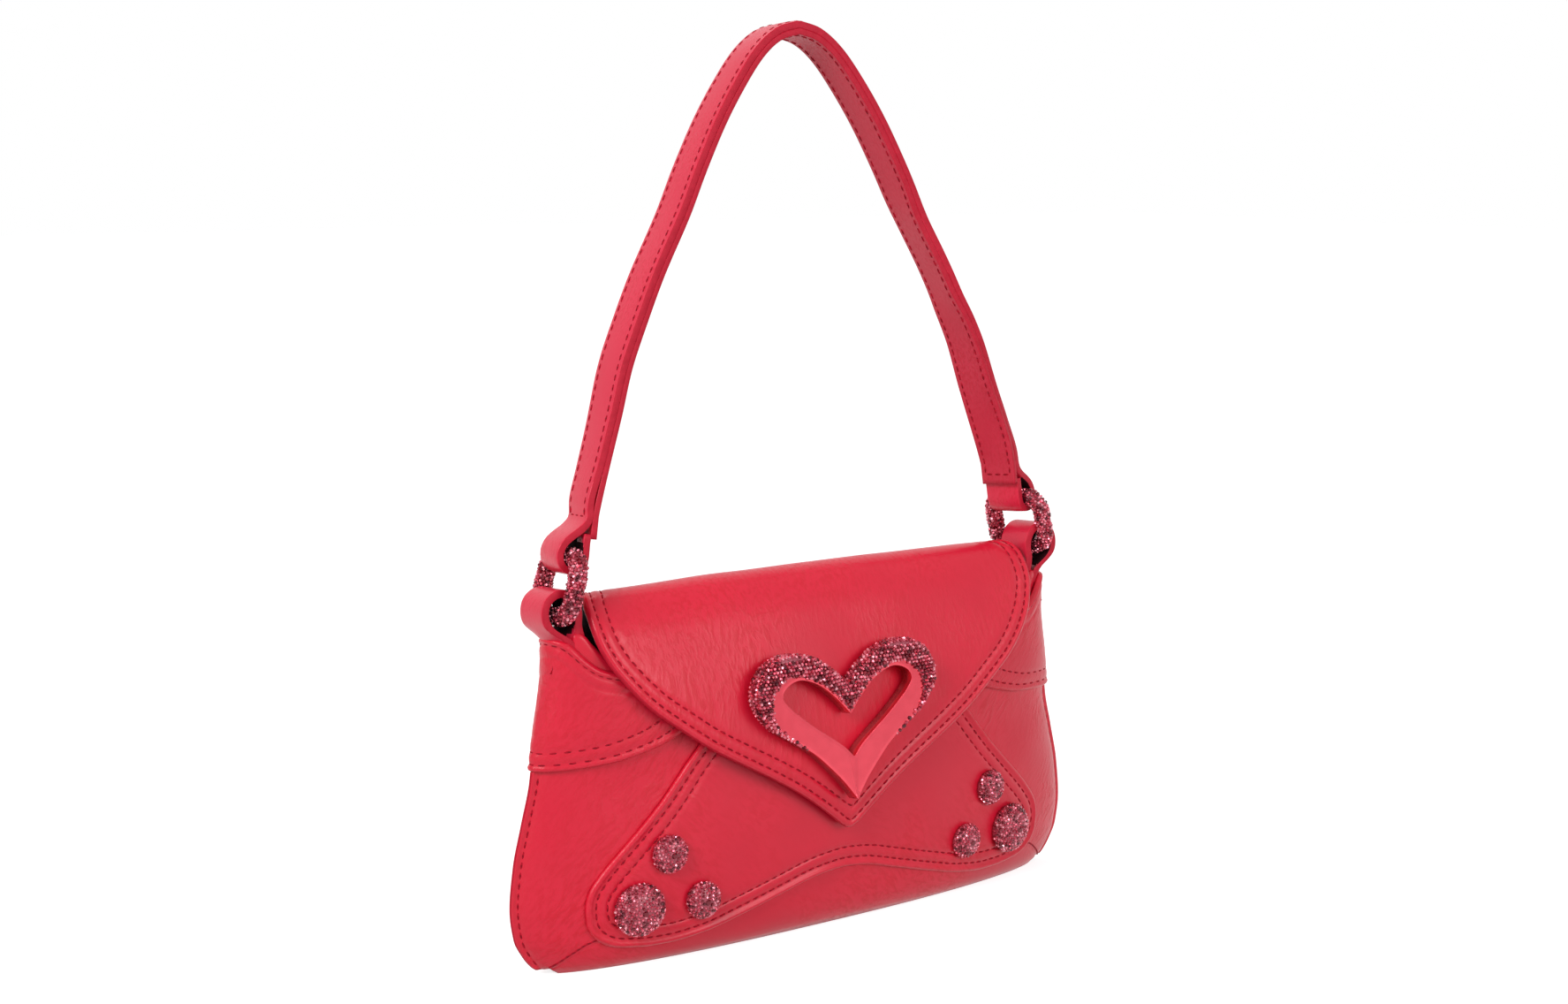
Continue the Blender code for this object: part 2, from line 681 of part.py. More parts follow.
def make_snap(panels, flap_lining):
    overlay, front = panels
    seat = OVERLAY_WALL + LAYER_GAP
    frame = front_frame(0, SNAP_HEIGHT, seat)
    depth = PANEL_WALL + seat + SEAM_GAP + WASHER_WALL
    profile = [(0, SNAP_CAP + SEAM_GAP), (SNAP_RADIUS, SNAP_CAP + SEAM_GAP), (SNAP_RADIUS, SEAM_GAP),
               (SNAP_POST_RADIUS, SEAM_GAP), (SNAP_POST_RADIUS, -depth), (0, -depth)]
    make_turned("snap_socket", profile, STEEL, frame)
    hole = SNAP_POST_RADIUS + HOLE_CLEARANCE
    inner = -seat - PANEL_WALL - SEAM_GAP
    washer = [(hole, inner), (SNAP_WASHER_RADIUS, inner), (SNAP_WASHER_RADIUS, inner - WASHER_WALL),
              (hole, inner - WASHER_WALL)]
    make_turned("snap_socket_washer", washer, STEEL, frame)
    out = frame.to_3x3().col[2]
    spot = frame.translation
    bore = make_cylinder("snap_bore", hole, spot + out * OVERRUN, spot - out * (seat + PANEL_WALL + OVERRUN))
    cut(overlay, bore)
    cut(front, bore)
    depth_at, outward = flap_at(SNAP_HEIGHT)
    inside = FLAP_STACK + SNAP_SEAT
    cap_frame = face_frame(Vector((0, depth_at, SNAP_HEIGHT)) - outward * inside, -outward)
    cap = [(0, SNAP_CAP), (SNAP_RADIUS, SNAP_CAP), (SNAP_RADIUS, 0), (0, 0)]
    make_turned("snap_magnet", cap, STEEL, cap_frame)


# Studs

def make_stud(name, x, z, radius, rise, panels):
    seat = OVERLAY_WALL + LAYER_GAP
    frame = front_frame(x, z, seat)
    depth = seat + PANEL_WALL + SEAM_GAP + STUD_NUT_WALL
    dome_steps = 4
    profile = [(radius * math.sin(QUARTER_TURN * step / dome_steps),
                SEAM_GAP + STUD_RIM + (rise - STUD_RIM) * math.cos(QUARTER_TURN * step / dome_steps))
               for step in range(dome_steps + 1)]
    profile += [(radius, SEAM_GAP), (STUD_POST_RADIUS, SEAM_GAP), (STUD_POST_RADIUS, -depth), (0, -depth)]
    make_turned(name, profile, CRYSTAL, frame)
    hole = STUD_POST_RADIUS + HOLE_CLEARANCE
    inner = -seat - PANEL_WALL - SEAM_GAP
    nut = [(hole, inner), (STUD_NUT_RADIUS, inner), (STUD_NUT_RADIUS, inner - STUD_NUT_WALL),
           (hole, inner - STUD_NUT_WALL)]
    make_turned(name.replace("stud", "stud_nut"), nut, STEEL, frame, 12)
    out = frame.to_3x3().col[2]
    spot = frame.translation
    bore = make_cylinder(name + "_bore", hole, spot + out * OVERRUN,
                         spot - out * (seat + PANEL_WALL + OVERRUN), sides=10)
    for panel in panels:
        cut(panel, bore)


def make_studs(panels):
    for side, word in ((-1, "left"), (1, "right")):
        make_stud("stud_large_" + word, side * (OVERLAY_HALF - STUD_LARGE_INSET), STUD_LARGE_Z,
                  STUD_LARGE_RADIUS, STUD_LARGE_RISE, panels)
        make_stud("stud_upper_" + word, side * (OVERLAY_HALF - STUD_UPPER_INSET), STUD_UPPER_Z,
                  STUD_SMALL_RADIUS, STUD_SMALL_RISE, panels)
        make_stud("stud_inner_" + word, side * (OVERLAY_HALF - STUD_INNER_INSET), STUD_INNER_Z,
                  STUD_SMALL_RADIUS, STUD_SMALL_RISE, panels)


# Heart ornament

def mirrored_outline(shares, steps):
    """Closed outline from the half given in shares of the heart's half width and height."""
    half = smooth_path([Vector((x * HEART_HALF, z * HEART_TALL)) for x, z in shares], steps)
    other = [Vector((-point.x, point.y)) for point in reversed(half)]
    joined = half + [point for point in other if abs(point.x) > WELD]
    return [(point.x, point.y) for point in joined]


def heart_frame():
    """Frame of the heart: its tip, with X across, Y up the heart and Z outwards."""
    middle = HEART_TIP_Z + HEART_TALL / 2
    depth, outward = flap_at(middle)
    lean = Matrix.Rotation(QUARTER_TURN - HEART_LEAN, 4, "X")
    up = lean.to_3x3().col[1]
    centre = Vector((HEART_X, depth, middle)) + lean.to_3x3().col[2] * HEART_STANDOFF
    return Matrix.Translation(centre - up * HEART_TALL / 2) @ lean


def make_heart(flap_outer):
    frame = heart_frame()
    out = frame.to_3x3().col[2]
    body_frame = frame @ Matrix.Translation((0, 0, HEART_WALL / 2))
    outlines = [mirrored_outline(HEART_OUTER_SHARES, 2), mirrored_outline(HEART_INNER_SHARES, 2)]
    body = as_mesh(make_plate("heart_frame", outlines, HEART_WALL, RED_METAL, body_frame, HEART_BEVEL))
    bed_frame = frame @ Matrix.Translation((0, 0, HEART_WALL + SEAM_GAP + BED_WALL / 2))
    outer = smooth_path([Vector((x * HEART_HALF, z * HEART_TALL)) for x, z in BED_OUTER_SHARES], 2)
    inner = smooth_path([Vector((x * HEART_HALF, z * HEART_TALL)) for x, z in BED_INNER_SHARES], 2)
    half = outer + inner
    other = [Vector((-point.x, point.y)) for point in reversed(half) if abs(point.x) > WELD]
    bed = [(point.x, point.y) for point in half + other]
    make_plate("heart_crystal_bed", [bed], BED_WALL, CRYSTAL, bed_frame)
    lobe_x, lobe_z = HEART_HALF * LOBE_SCREW_SHARES[0], HEART_TALL * LOBE_SCREW_SHARES[1]
    places = (("heart_screw_left", -lobe_x, lobe_z), ("heart_screw_right", lobe_x, lobe_z),
              ("heart_screw_tip", 0, HEART_TALL * TIP_SCREW_SHARE))
    for name, x, y in places:
        base = frame @ Vector((x, y, 0))
        depth, outward = flap_at(base.z)
        gap = abs(base.y - depth)
        shank = gap + FLAP_LEATHER + LAYER_GAP
        profile = [(0, SCREW_BITE), (SCREW_RADIUS, SCREW_BITE), (SCREW_RADIUS, -shank),
                   (SCREW_HEAD_RADIUS, -shank), (SCREW_HEAD_RADIUS, -shank - SCREW_HEAD),
                   (0, -shank - SCREW_HEAD)]
        make_turned(name, profile, STEEL, frame @ Matrix.Translation((x, y, 0)), 12)
        hole = SCREW_RADIUS + HOLE_CLEARANCE
        bore = make_cylinder(name + "_bore", hole, base + out * (SCREW_BITE + SEAM_GAP),
                             base - out * (shank + OVERRUN), sides=10)
        head = make_cylinder(name + "_head_bore", SCREW_HEAD_RADIUS + HOLE_CLEARANCE,
                             base - out * (shank - LAYER_GAP),
                             base - out * (shank + OVERRUN), sides=12)
        cut(body, bore)
        cut(flap_outer, bore)
        yield head


# Handle: tabs, rings and strap, drawn upright about the tilt axis and then leaned back

def handle_frame():
    return Matrix.Translation((0, 0, TILT_HEIGHT)) @ Matrix.Rotation(HANDLE_LEAN, 4, "X")


def tab_loop_rise():
    """Height of the middle of a tab's loop above the tilt axis."""
    return TAB_RADIUS + SEAM_GAP


def lower_bar():
    """Place of a ring's lower bar, in the handle's own plane: at rest on the neck of the tab's loop."""
    loop_floor = tab_loop_rise() - TAB_RADIUS + TAB_WALL + TAB_NECK
    return Vector((tab_x(), loop_floor + SEAM_GAP + BAR_RADIUS))


def upper_bar():
    return lower_bar() + Vector((-math.sin(RING_LEAN), math.cos(RING_LEAN))) * RING_REACH


def plane_frame():
    """Frame for an outline in the handle's own XZ plane."""
    return handle_frame() @ Matrix.Rotation(QUARTER_TURN, 4, "X")


def make_tab(side, word):
    centre = Vector((tab_x() * side, tab_loop_rise()))
    count = 24
    outlines = []
    for wall, neck in ((0, 0), (TAB_WALL, TAB_NECK)):
        outline = []
        for index in range(count):
            angle = 2 * HALF_TURN * index / count
            radius = TAB_RADIUS - wall - neck * max(0, -math.sin(angle)) ** 2
            outline.append((centre.x + radius * math.cos(angle), centre.y + radius * math.sin(angle)))
        outlines.append(outline)
    make_plate("tab_loop_" + word, outlines, STRAP_WIDTH, LEATHER, plane_frame())
    columns = 8
    middle = 0 if side > 0 else HALF_TURN

    def surface(column, up):
        away = column * 2 / columns - 1
        z = TONGUE_LOW + (TONGUE_TOP - TONGUE_BEVEL * abs(away) - TONGUE_LOW) * up
        return body_point(middle + TONGUE_TURN * away, z, TONGUE_GROW)

    rows = 4
    sheet("tab_tongue_" + word, columns, rows, surface, TONGUE_WALL, False, LEATHER)


def make_ring(side, word):
    """Rounded ring of round bar, closed on itself, standing between its two bars."""
    curve = bpy.data.curves.new("ring_" + word, "CURVE")
    curve.dimensions = "3D"
    curve.bevel_depth = BAR_RADIUS
    curve.bevel_resolution = 2
    spline = curve.splines.new("POLY")
    steps = 5
    points = []
    for index in range(4):
        turn = QUARTER_TURN * index
        y = math.copysign(RING_HALF_WIDTH - RING_CORNER, math.cos(turn + QUARTER_TURN / 2))
        high = math.sin(turn + QUARTER_TURN / 2) > 0
        z = RING_REACH - RING_CORNER if high else RING_CORNER
        for step in range(steps + 1):
            angle = turn + QUARTER_TURN * step / steps
            points.append((0, y + RING_CORNER * math.cos(angle), z + RING_CORNER * math.sin(angle)))
    spline.points.add(len(points) - 1)
    for point, place_at in zip(spline.points, points):
        point.co = (*place_at, 1)
    spline.use_cyclic_u = True
    thing = place("ring_" + word, curve, RED_METAL)
    bar = lower_bar()
    foot = Matrix.Translation((bar.x * side, 0, bar.y))
    thing.matrix_world = handle_frame() @ foot @ Matrix.Rotation(-side * RING_LEAN, 4, "Y")
    return thing


def strap_side():
    """Middle line of the strap's outer ply on the right side, from the top down to its end."""
    bar = upper_bar()
    half, low = bar.x - STRAP_SHOULDER, bar.y + STRAP_SHOULDER_RISE
    return [Vector((half * x, low + STRAP_TALL * z)) for x, z in zip(STRAP_X_SHARES, STRAP_Z_SHARES)]


def strap_loop():
    bar = upper_bar()
    centre = Vector((bar.x, bar.y - BAR_RADIUS - SEAM_GAP - STRAP_OUTER_WALL / 2 + STRAP_LOOP_RADIUS))
    return [centre + Vector((x, z)) * STRAP_LOOP_RADIUS for x, z in LOOP_SHARES]


def mirror_path(path):
    """Whole path from the right half: left end first."""
    left = [Vector((-point.x, point.y)) for point in reversed(path)]
    return left + path[1:]


def band_outline(path, wall):
    left = offset_path(path, wall / 2)
    right = offset_path(path, -wall / 2)
    return [(point.x, point.y) for point in left + list(reversed(right))]


def make_strap():
    steps = 2
    side = strap_side()
    outer = mirror_path(smooth_path(side[:-1] + strap_loop(), steps))
    tape_drop = (STRAP_OUTER_WALL + STRAP_TAPE_WALL) / 2 + SEAM_GAP
    lining_drop = tape_drop + (STRAP_TAPE_WALL + STRAP_LINING_WALL) / 2 + SEAM_GAP
    straight = smooth_path(side, steps)
    tape = offset_path(mirror_path(straight), -tape_drop)
    lining = offset_path(mirror_path(straight), -lining_drop)
    frame = plane_frame()
    make_plate("strap_outer", [band_outline(outer, STRAP_OUTER_WALL)], STRAP_WIDTH, LEATHER, frame)
    tape_width = STRAP_WIDTH - STRAP_TAPE_INSET * 2
    make_plate("strap_tape", [band_outline(tape, STRAP_TAPE_WALL)], tape_width, TEXTILE, frame)
    make_plate("strap_lining", [band_outline(lining, STRAP_LINING_WALL)], STRAP_WIDTH, LEATHER, frame)


# Joint axes

def make_axis(name, matrix, parent=None):
    """Empty on a joint's axis, which carries the pieces that turn about it."""
    axis = place(name, None, None)
    axis.empty_display_size = BAR_RADIUS
    axis.matrix_world = matrix
    if parent:
        hang(axis, matrix, parent)
    return axis


def hang(thing, matrix, parent):
    thing.parent = parent
    thing.matrix_parent_inverse = Matrix.Identity(4)
    bpy.context.view_layer.update()
    thing.matrix_world = matrix


def hang_all(words, parent):
    bpy.context.view_layer.update()
    for thing in list(BAG.objects):
        if thing.type != "EMPTY" and thing.name.startswith(words):
            hang(thing, thing.matrix_world.copy(), parent)


def make_joints():
    hinge = flap_profile()[0][0]
    flap_axis = make_axis("flap_hinge", Matrix.Translation((0, hinge.x, hinge.y)))
    hang_all(("flap_", "snap_magnet", "heart_"), flap_axis)
    low, high = lower_bar(), upper_bar()
    for side, word in ((-1, "left"), (1, "right")):
        tab_axis = make_axis("tab_tilt_" + word, handle_frame() @ Matrix.Translation((tab_x() * side, 0, 0)))
        hang_all(("tab_loop_" + word,), tab_axis)
        ring_frame = handle_frame() @ Matrix.Translation((low.x * side, 0, low.y))
        ring_axis = make_axis("ring_pivot_" + word, ring_frame, tab_axis)
        hang_all(("ring_" + word,), ring_axis)
        if side < 0:
            strap_frame = handle_frame() @ Matrix.Translation((high.x * side, 0, high.y))
            strap_axis = make_axis("strap_pivot", strap_frame, ring_axis)
            hang_all(("strap_outer", "strap_tape", "strap_lining"), strap_axis)


front_panel, back_panel = make_panels()
make_bottom()
overlay_panel = make_overlay()
make_yoke("yoke_left", -1)
make_yoke("yoke_right", 1)
make_facing()
make_lining()
make_pocket()
make_board()
flap_outer, flap_filler, flap_lining = make_flap()
make_snap((overlay_panel, front_panel), flap_lining)
make_studs((overlay_panel, front_panel))
for head_bore in make_heart(flap_outer):
    cut(flap_filler, head_bore)
for tab_side, tab_word in ((-1, "left"), (1, "right")):
    make_tab(tab_side, tab_word)
    make_ring(tab_side, tab_word)
make_strap()
make_joints()
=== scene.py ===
import math
import random

import bmesh
import bpy
import numpy as np
from mathutils import Matrix, Vector, noise


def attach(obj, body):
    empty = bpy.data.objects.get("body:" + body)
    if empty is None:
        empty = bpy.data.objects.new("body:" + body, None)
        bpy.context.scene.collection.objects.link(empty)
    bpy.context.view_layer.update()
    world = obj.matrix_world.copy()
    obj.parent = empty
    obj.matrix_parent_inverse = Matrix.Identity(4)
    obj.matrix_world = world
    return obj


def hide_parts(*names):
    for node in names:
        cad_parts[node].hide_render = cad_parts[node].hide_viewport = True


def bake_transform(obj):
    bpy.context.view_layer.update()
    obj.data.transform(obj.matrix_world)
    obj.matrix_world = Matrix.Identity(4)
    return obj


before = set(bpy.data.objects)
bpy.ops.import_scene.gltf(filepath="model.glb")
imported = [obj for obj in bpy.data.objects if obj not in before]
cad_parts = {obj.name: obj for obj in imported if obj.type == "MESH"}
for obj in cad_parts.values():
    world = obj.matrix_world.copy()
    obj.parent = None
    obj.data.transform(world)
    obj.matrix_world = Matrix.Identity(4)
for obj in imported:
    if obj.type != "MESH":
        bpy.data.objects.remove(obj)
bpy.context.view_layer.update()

# lengths are in millimetres here, and each finished mesh is brought to metres at the end
mm = 0.001
chance = random.Random(7)
bothEnds = ((-1, "left"), (1, "right"))


def linear(code):
    channels = [int(code[i:i + 2], 16) / 255 for i in (1, 3, 5)]
    return [c / 12.92 if c <= 0.04045 else ((c + 0.055) / 1.055) ** 2.4 for c in channels] + [1]


# one node with its plain settings, its socket values and the sockets that feed it
def addNode(tree, kind, settings={}, links={}):
    made = tree.nodes.new("ShaderNode" + kind)
    for name, value in settings.items():
        if isinstance(name, str) and hasattr(made, name):
            setattr(made, name, value)
        else:
            made.inputs[name].default_value = value
    for name, source in links.items():
        tree.links.new(source, made.inputs[name])
    return made


# even readings of a table, eased so that it has no corners
def smoothTable(keys, results, count=240):
    slopes = [(b - a) / (k - j) for a, b, j, k in zip(results, results[1:], keys, keys[1:])]
    tangents = [slopes[0]]
    for before, after in zip(slopes, slopes[1:]):
        tangents.append(0 if before * after <= 0 else 2 * before * after / (before + after))
    tangents.append(slopes[-1])
    readings = []
    for i in range(count + 1):
        value = keys[0] + (keys[-1] - keys[0]) * i / count
        j = max(0, min(len(keys) - 2, next((k for k in range(len(keys) - 1) if value <= keys[k + 1]), 0)))
        span = keys[j + 1] - keys[j]
        t = (value - keys[j]) / span
        readings.append(results[j] * (2 * t ** 3 - 3 * t * t + 1) + results[j + 1] * (3 * t * t - 2 * t ** 3)
                        + tangents[j] * span * (t ** 3 - 2 * t * t + t) + tangents[j + 1] * span * (t ** 3 - t * t))
    return keys[0], keys[-1], readings


def readTable(table, value):
    low, high, readings = table
    place = min(max((value - low) / (high - low), 0), 1) * (len(readings) - 1)
    i = min(int(place), len(readings) - 2)
    return readings[i] + (readings[i + 1] - readings[i]) * (place - i)


def ease(low, high, value):
    t = min(max((value - low) / (high - low), 0), 1)
    return t * t * (3 - 2 * t)


# smooth open path through the given points
def smoothPath(points, steps):
    points = [Vector(p) for p in points]
    ends = [points[0] * 2 - points[1]] + points + [points[-1] * 2 - points[-2]]
    path = []
    for before, first, last, after in zip(ends, ends[1:], ends[2:], ends[3:]):
        for step in range(steps):
            t = step / steps
            path.append(first + (last - before) * (t / 2)
                        + (before * 2 - first * 5 + last * 4 - after) * (t * t / 2)
                        + (first * 3 - before - last * 3 + after) * (t ** 3 / 2))
    path.append(points[-1])
    return path


def runAlong(line):
    return np.concatenate([[0], np.cumsum(np.linalg.norm(np.diff(line, axis=0), axis=1))])


# the same path with evenly spaced points
def evenPath(points, spacing, closed=False):
    line = np.array([tuple(p) for p in points])
    if closed:
        line = np.vstack([line, line[:1]])
    run = runAlong(line)
    count = max(2, round(run[-1] / spacing))
    at = np.linspace(0, run[-1], count + 1)
    even = np.stack([np.interp(at, run, line[:, i]) for i in range(line.shape[1])], 1)
    return even[:-1] if closed else even


# a closed outline moved inwards; where it would cross itself, it gathers in the corner
def insetLoop(loop, distance):
    count = len(loop)
    ahead = np.roll(loop, -1, 0) - np.roll(loop, 1, 0)
    ahead /= np.linalg.norm(ahead, axis=1)[:, None]
    moved = loop + np.stack([-ahead[:, 1], ahead[:, 0]], 1) * distance
    spans = np.roll(loop, -1, 0) - loop
    away = moved[:, None] - loop[None]
    share = np.clip((away * spans).sum(2) / (spans ** 2).sum(1), 0, 1)
    gap = np.linalg.norm(away - spans * share[..., None], axis=2).min(1)
    order = np.arange(count)
    kept = order[gap > distance * 0.98 - 0.03]
    turns = np.abs((order[:, None] - kept + count / 2) % count - count / 2)
    return moved[kept[turns.argmin(1)]]


# the outline, counterclockwise, so that its left side is the inside
def insideFirst(loop):
    area = (loop[:, 0] * np.roll(loop[:, 1], -1) - loop[:, 1] * np.roll(loop[:, 0], -1)).sum()
    return loop if area > 0 else loop[::-1].copy()


# from the maker's millimetres to metres, with smooth faces, riding on its body
def finishPiece(name, bm, materials, body=None, flat=False):
    bmesh.ops.scale(bm, vec=(mm, mm, mm), verts=bm.verts)
    bm.normal_update()
    mesh = bpy.data.meshes.new(name)
    bm.to_mesh(mesh)
    bm.free()
    for material in materials:
        mesh.materials.append(material)
    if not flat:
        mesh.shade_smooth()
    piece = bpy.data.objects.new(name, mesh)
    bpy.context.scene.collection.objects.link(piece)
    if body:
        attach(piece, body)
    return piece


# the thickness of the leather or cloth, inwards from its face
def addWall(piece, wall, edgeMaterial=0):
    solid = piece.modifiers.new("wall", "SOLIDIFY")
    solid.thickness = wall * mm
    solid.offset = -1
    solid.use_even_offset = False
    solid.material_offset_rim = edgeMaterial
    return piece


# turn an open sheet so that its faces look outwards
def faceOut(bm, outward):
    bmesh.ops.recalc_face_normals(bm, faces=bm.faces)
    bm.normal_update()
    votes = sum(1 if face.normal.dot(outward(face.calc_center_median())) > 0 else -1
                for face in list(bm.faces)[::7])
    if votes < 0:
        bmesh.ops.reverse_faces(bm, faces=bm.faces)


# a grid laid on a surface: place(column, row) gives each corner, and it can close on itself
def skin(columns, rows, place, around=False, along=False, capped=False):
    bm = bmesh.new()
    bmesh.ops.create_grid(bm, x_segments=columns, y_segments=rows, size=1)
    for vert in bm.verts:
        column = round((vert.co.x + 1) / 2 * columns)
        row = round((vert.co.y + 1) / 2 * rows)
        vert.co = place(column % columns if around else column, row % rows if along else row)
    if around or along:
        bmesh.ops.remove_doubles(bm, verts=bm.verts, dist=0.001)
    if capped:
        rim = [edge for edge in bm.edges if edge.is_boundary]
        bmesh.ops.holes_fill(bm, edges=rim, sides=0)
    if around:
        bmesh.ops.recalc_face_normals(bm, faces=bm.faces)
    return bm


# a panel cut to an outline: rings that follow its edge, each with its inset and height, and a
# middle with enough points to bend, all laid on surface(u, v, height)
def cutPanel(outline, rings, surface, spacing):
    loops = [insetLoop(outline, ring[0]) if ring[0] > 0 else outline for ring in rings]
    count, bm = len(outline), bmesh.new()
    ringOf = bm.verts.layers.int.new("ring")
    bmesh.ops.create_grid(bm, x_segments=count, y_segments=len(rings) - 1, size=1)
    for vert in bm.verts:
        column = round((vert.co.x + 1) / 2 * count) % count
        ring = round((vert.co.y + 1) / 2 * (len(rings) - 1))
        vert[ringOf] = ring
        vert.co = (*loops[ring][column], ring * 0.5)
    bmesh.ops.remove_doubles(bm, verts=bm.verts, dist=0.01)
    last = len(rings) - 1
    inner = [edge for edge in bm.edges if edge.is_boundary and all(v[ringOf] == last for v in edge.verts)]
    filled = bmesh.ops.triangle_fill(bm, use_beauty=True, edges=inner)
    middle = [face for face in filled["geom"] if isinstance(face, bmesh.types.BMFace)]
    for vert in bm.verts:
        vert.co.z = 0
    low, high = outline.min(0), outline.max(0)
    for axis in (0, 1):
        normal = (1, 0, 0) if axis == 0 else (0, 1, 0)
        for step in range(1, int((high[axis] - low[axis]) / spacing) + 1):
            at = [0, 0, 0]
            at[axis] = low[axis] + spacing * step
            edges = list({edge for face in middle for edge in face.edges})
            verts = list({vert for edge in edges for vert in edge.verts})
            split = bmesh.ops.bisect_plane(bm, geom=middle + edges + verts, dist=0.01,
                                           plane_co=at, plane_no=normal)
            for vert in split["geom_cut"]:
                if isinstance(vert, bmesh.types.BMVert):
                    vert[ringOf] = last
            middle = [face for face in split["geom"] if isinstance(face, bmesh.types.BMFace)]
    for vert in bm.verts:
        vert.co = surface(vert.co.x, vert.co.y, rings[vert[ringOf]][1])
    for face in bm.faces:
        face.material_index = 0
    return bm, ringOf


stitch = {"pitch": 3.6, "length": 2.6, "thick": 0.78, "flat": 0.42}


# one row of stitches along a path drawn on the flat pattern
def sewRow(bm, path, surface, height, pitch=stitch["pitch"]):
    points = evenPath(path, pitch)
    length, thick = stitch["length"], stitch["thick"]
    for first, last in zip(points, points[1:]):
        if np.linalg.norm(last - first) < pitch * 0.5:
            continue
        middle, along = (first + last) / 2, (last - first) / np.linalg.norm(last - first)
        start = surface(*(middle - along * length / 2), height)
        end = surface(*(middle + along * length / 2), height)
        out = surface(*middle, height + 1) - surface(*middle, height)
        x = (end - start).normalized()
        z = (out - x * out.dot(x)).normalized()
        turn = Matrix((x, z.cross(x), z)).transposed().to_4x4()
        size = Matrix.Diagonal((length / 2, thick / 2, thick * stitch["flat"], 1))
        bmesh.ops.create_uvsphere(bm, u_segments=6, v_segments=4, radius=1,
                                  matrix=Matrix.Translation((start + end) / 2) @ turn @ size
                                  @ Matrix.Rotation(math.pi / 2, 4, "Y"))


def frameOn(point, out, spin=0):
    z = out.normalized()
    x = (Vector((0, 0, 1)).cross(z) if abs(z.z) < 0.95 else Vector((1, 0, 0)).cross(z)).normalized()
    turn = Matrix((x, z.cross(x), z)).transposed().to_4x4()
    return Matrix.Translation(point) @ turn @ Matrix.Rotation(spin, 4, "Z")


crystals = {"sides": 6, "tip": 0.16, "table": 0.28, "deep": 0.42, "lift": 0.1}     # all but the tip by size


# one faceted crystal, tipped a little so that each catches its own light
def setStone(bm, glintTone, point, out, size):
    tip = Matrix.Rotation(chance.gauss(0, crystals["tip"]), 4, (chance.random() - 0.5, chance.random() - 0.5, 0.01))
    place = frameOn(point, out, chance.random() * 3.14) @ tip
    made = bmesh.ops.create_cone(bm, cap_ends=True, segments=crystals["sides"], radius1=size / 2,
                                 radius2=size * crystals["table"], depth=size * crystals["deep"],
                                 matrix=place @ Matrix.Translation((0, 0, size * crystals["lift"])))
    # a random painted highlight for the whole stone, from dark reflection to pink glint
    shade = chance.random()
    for vert in made["verts"]:
        vert[glintTone] = shade


def newMaterial(name):
    material = bpy.data.materials.new(name)
    material.use_nodes = True
    tree = material.node_tree
    return material, tree, tree.nodes["Principled BSDF"]


def colourRamp(tree, source, stops, colours):
    tint = addNode(tree, "ValToRGB", {}, {"Fac": source})
    for end, stop, code in zip(tint.color_ramp.elements, stops, colours):
        end.position, end.color = stop, linear(code)
    return tint


# glazed lambskin, crackled by hand: a polished face with fine creases that all run one way, darkened in the creases by
# painted shade
def leatherMaterial(name, look):
    material, tree, shader = newMaterial(name)
    place = addNode(tree, "TexCoord").outputs["Object"]
    turned = addNode(tree, "Mapping", {"Rotation": look["turn"]}, {"Vector": place}).outputs[0]
    along = addNode(tree, "Mapping", {"Scale": look["stretch"]}, {"Vector": turned}).outputs[0]
    wander = addNode(tree, "TexNoise", {"Scale": look["wanderScale"], "Detail": 2.0}, {"Vector": place})
    bent = addNode(tree, "VectorMath", {"operation": "MULTIPLY_ADD", 1: [look["wander"] * mm] * 3},
                   {0: wander.outputs["Color"], 2: along}).outputs[0]
    creases = addNode(tree, "TexNoise", {"Scale": 1 / look["crease"] / mm, "Detail": 4.0, "Roughness": 0.6},
                      {"Vector": bent}).outputs["Fac"]
    low, high = look["creaseRange"]
    lines = addNode(tree, "MapRange", {1: low, 2: high, 3: 0.0, 4: 1.0}, {0: creases}).outputs[0]
    where = addNode(tree, "TexNoise", {"Scale": look["patchScale"], "Detail": 2.0, "Roughness": 0.5},
                    {"Vector": place}).outputs["Fac"]
    low, high = look["patchRange"]
    patches = addNode(tree, "MapRange", {1: low, 2: high, 3: look["least"], 4: 1.0}, {0: where}).outputs[0]
    creasesAndShade = addNode(tree, "Math", {"operation": "MULTIPLY"}, {0: lines, 1: patches}).outputs[0]
    grain = addNode(tree, "TexVoronoi", {"Scale": 1 / look["grain"] / mm, "feature": "SMOOTH_F1"},
                    {"Vector": place}).outputs["Distance"]
    both = addNode(tree, "Math", {"operation": "MULTIPLY_ADD", 1: look["grainShare"]}, {0: grain, 2: creasesAndShade}).outputs[0]
    bump = addNode(tree, "Bump", {"Strength": look["relief"], "Distance": look["depth"] * mm},
                   {"Height": both}).outputs[0]
    tint = colourRamp(tree, where, (0.3, 0.7), (look["deep"], look["colour"]))
    # painted shade: a pale pink tint is multiplied into the creases to darken them
    dark = addNode(tree, "Mix", {"data_type": "RGBA", "blend_type": "MULTIPLY", 7: linear(look["creaseShade"])},
                   {0: creasesAndShade, 6: tint.outputs[0]}).outputs[2]
    gloss = addNode(tree, "MapRange", {1: 0.0, 2: 1.0, 3: look["gloss"], 4: look["gloss"] + 0.1}, {0: creasesAndShade}).outputs[0]
    tree.links.new(dark, shader.inputs["Base Color"])
    tree.links.new(gloss, shader.inputs["Roughness"])
    tree.links.new(bump, shader.inputs["Normal"])
    shader.inputs["IOR"].default_value = 1.5
    shader.inputs["Specular IOR Level"].default_value = 0.36
    return material


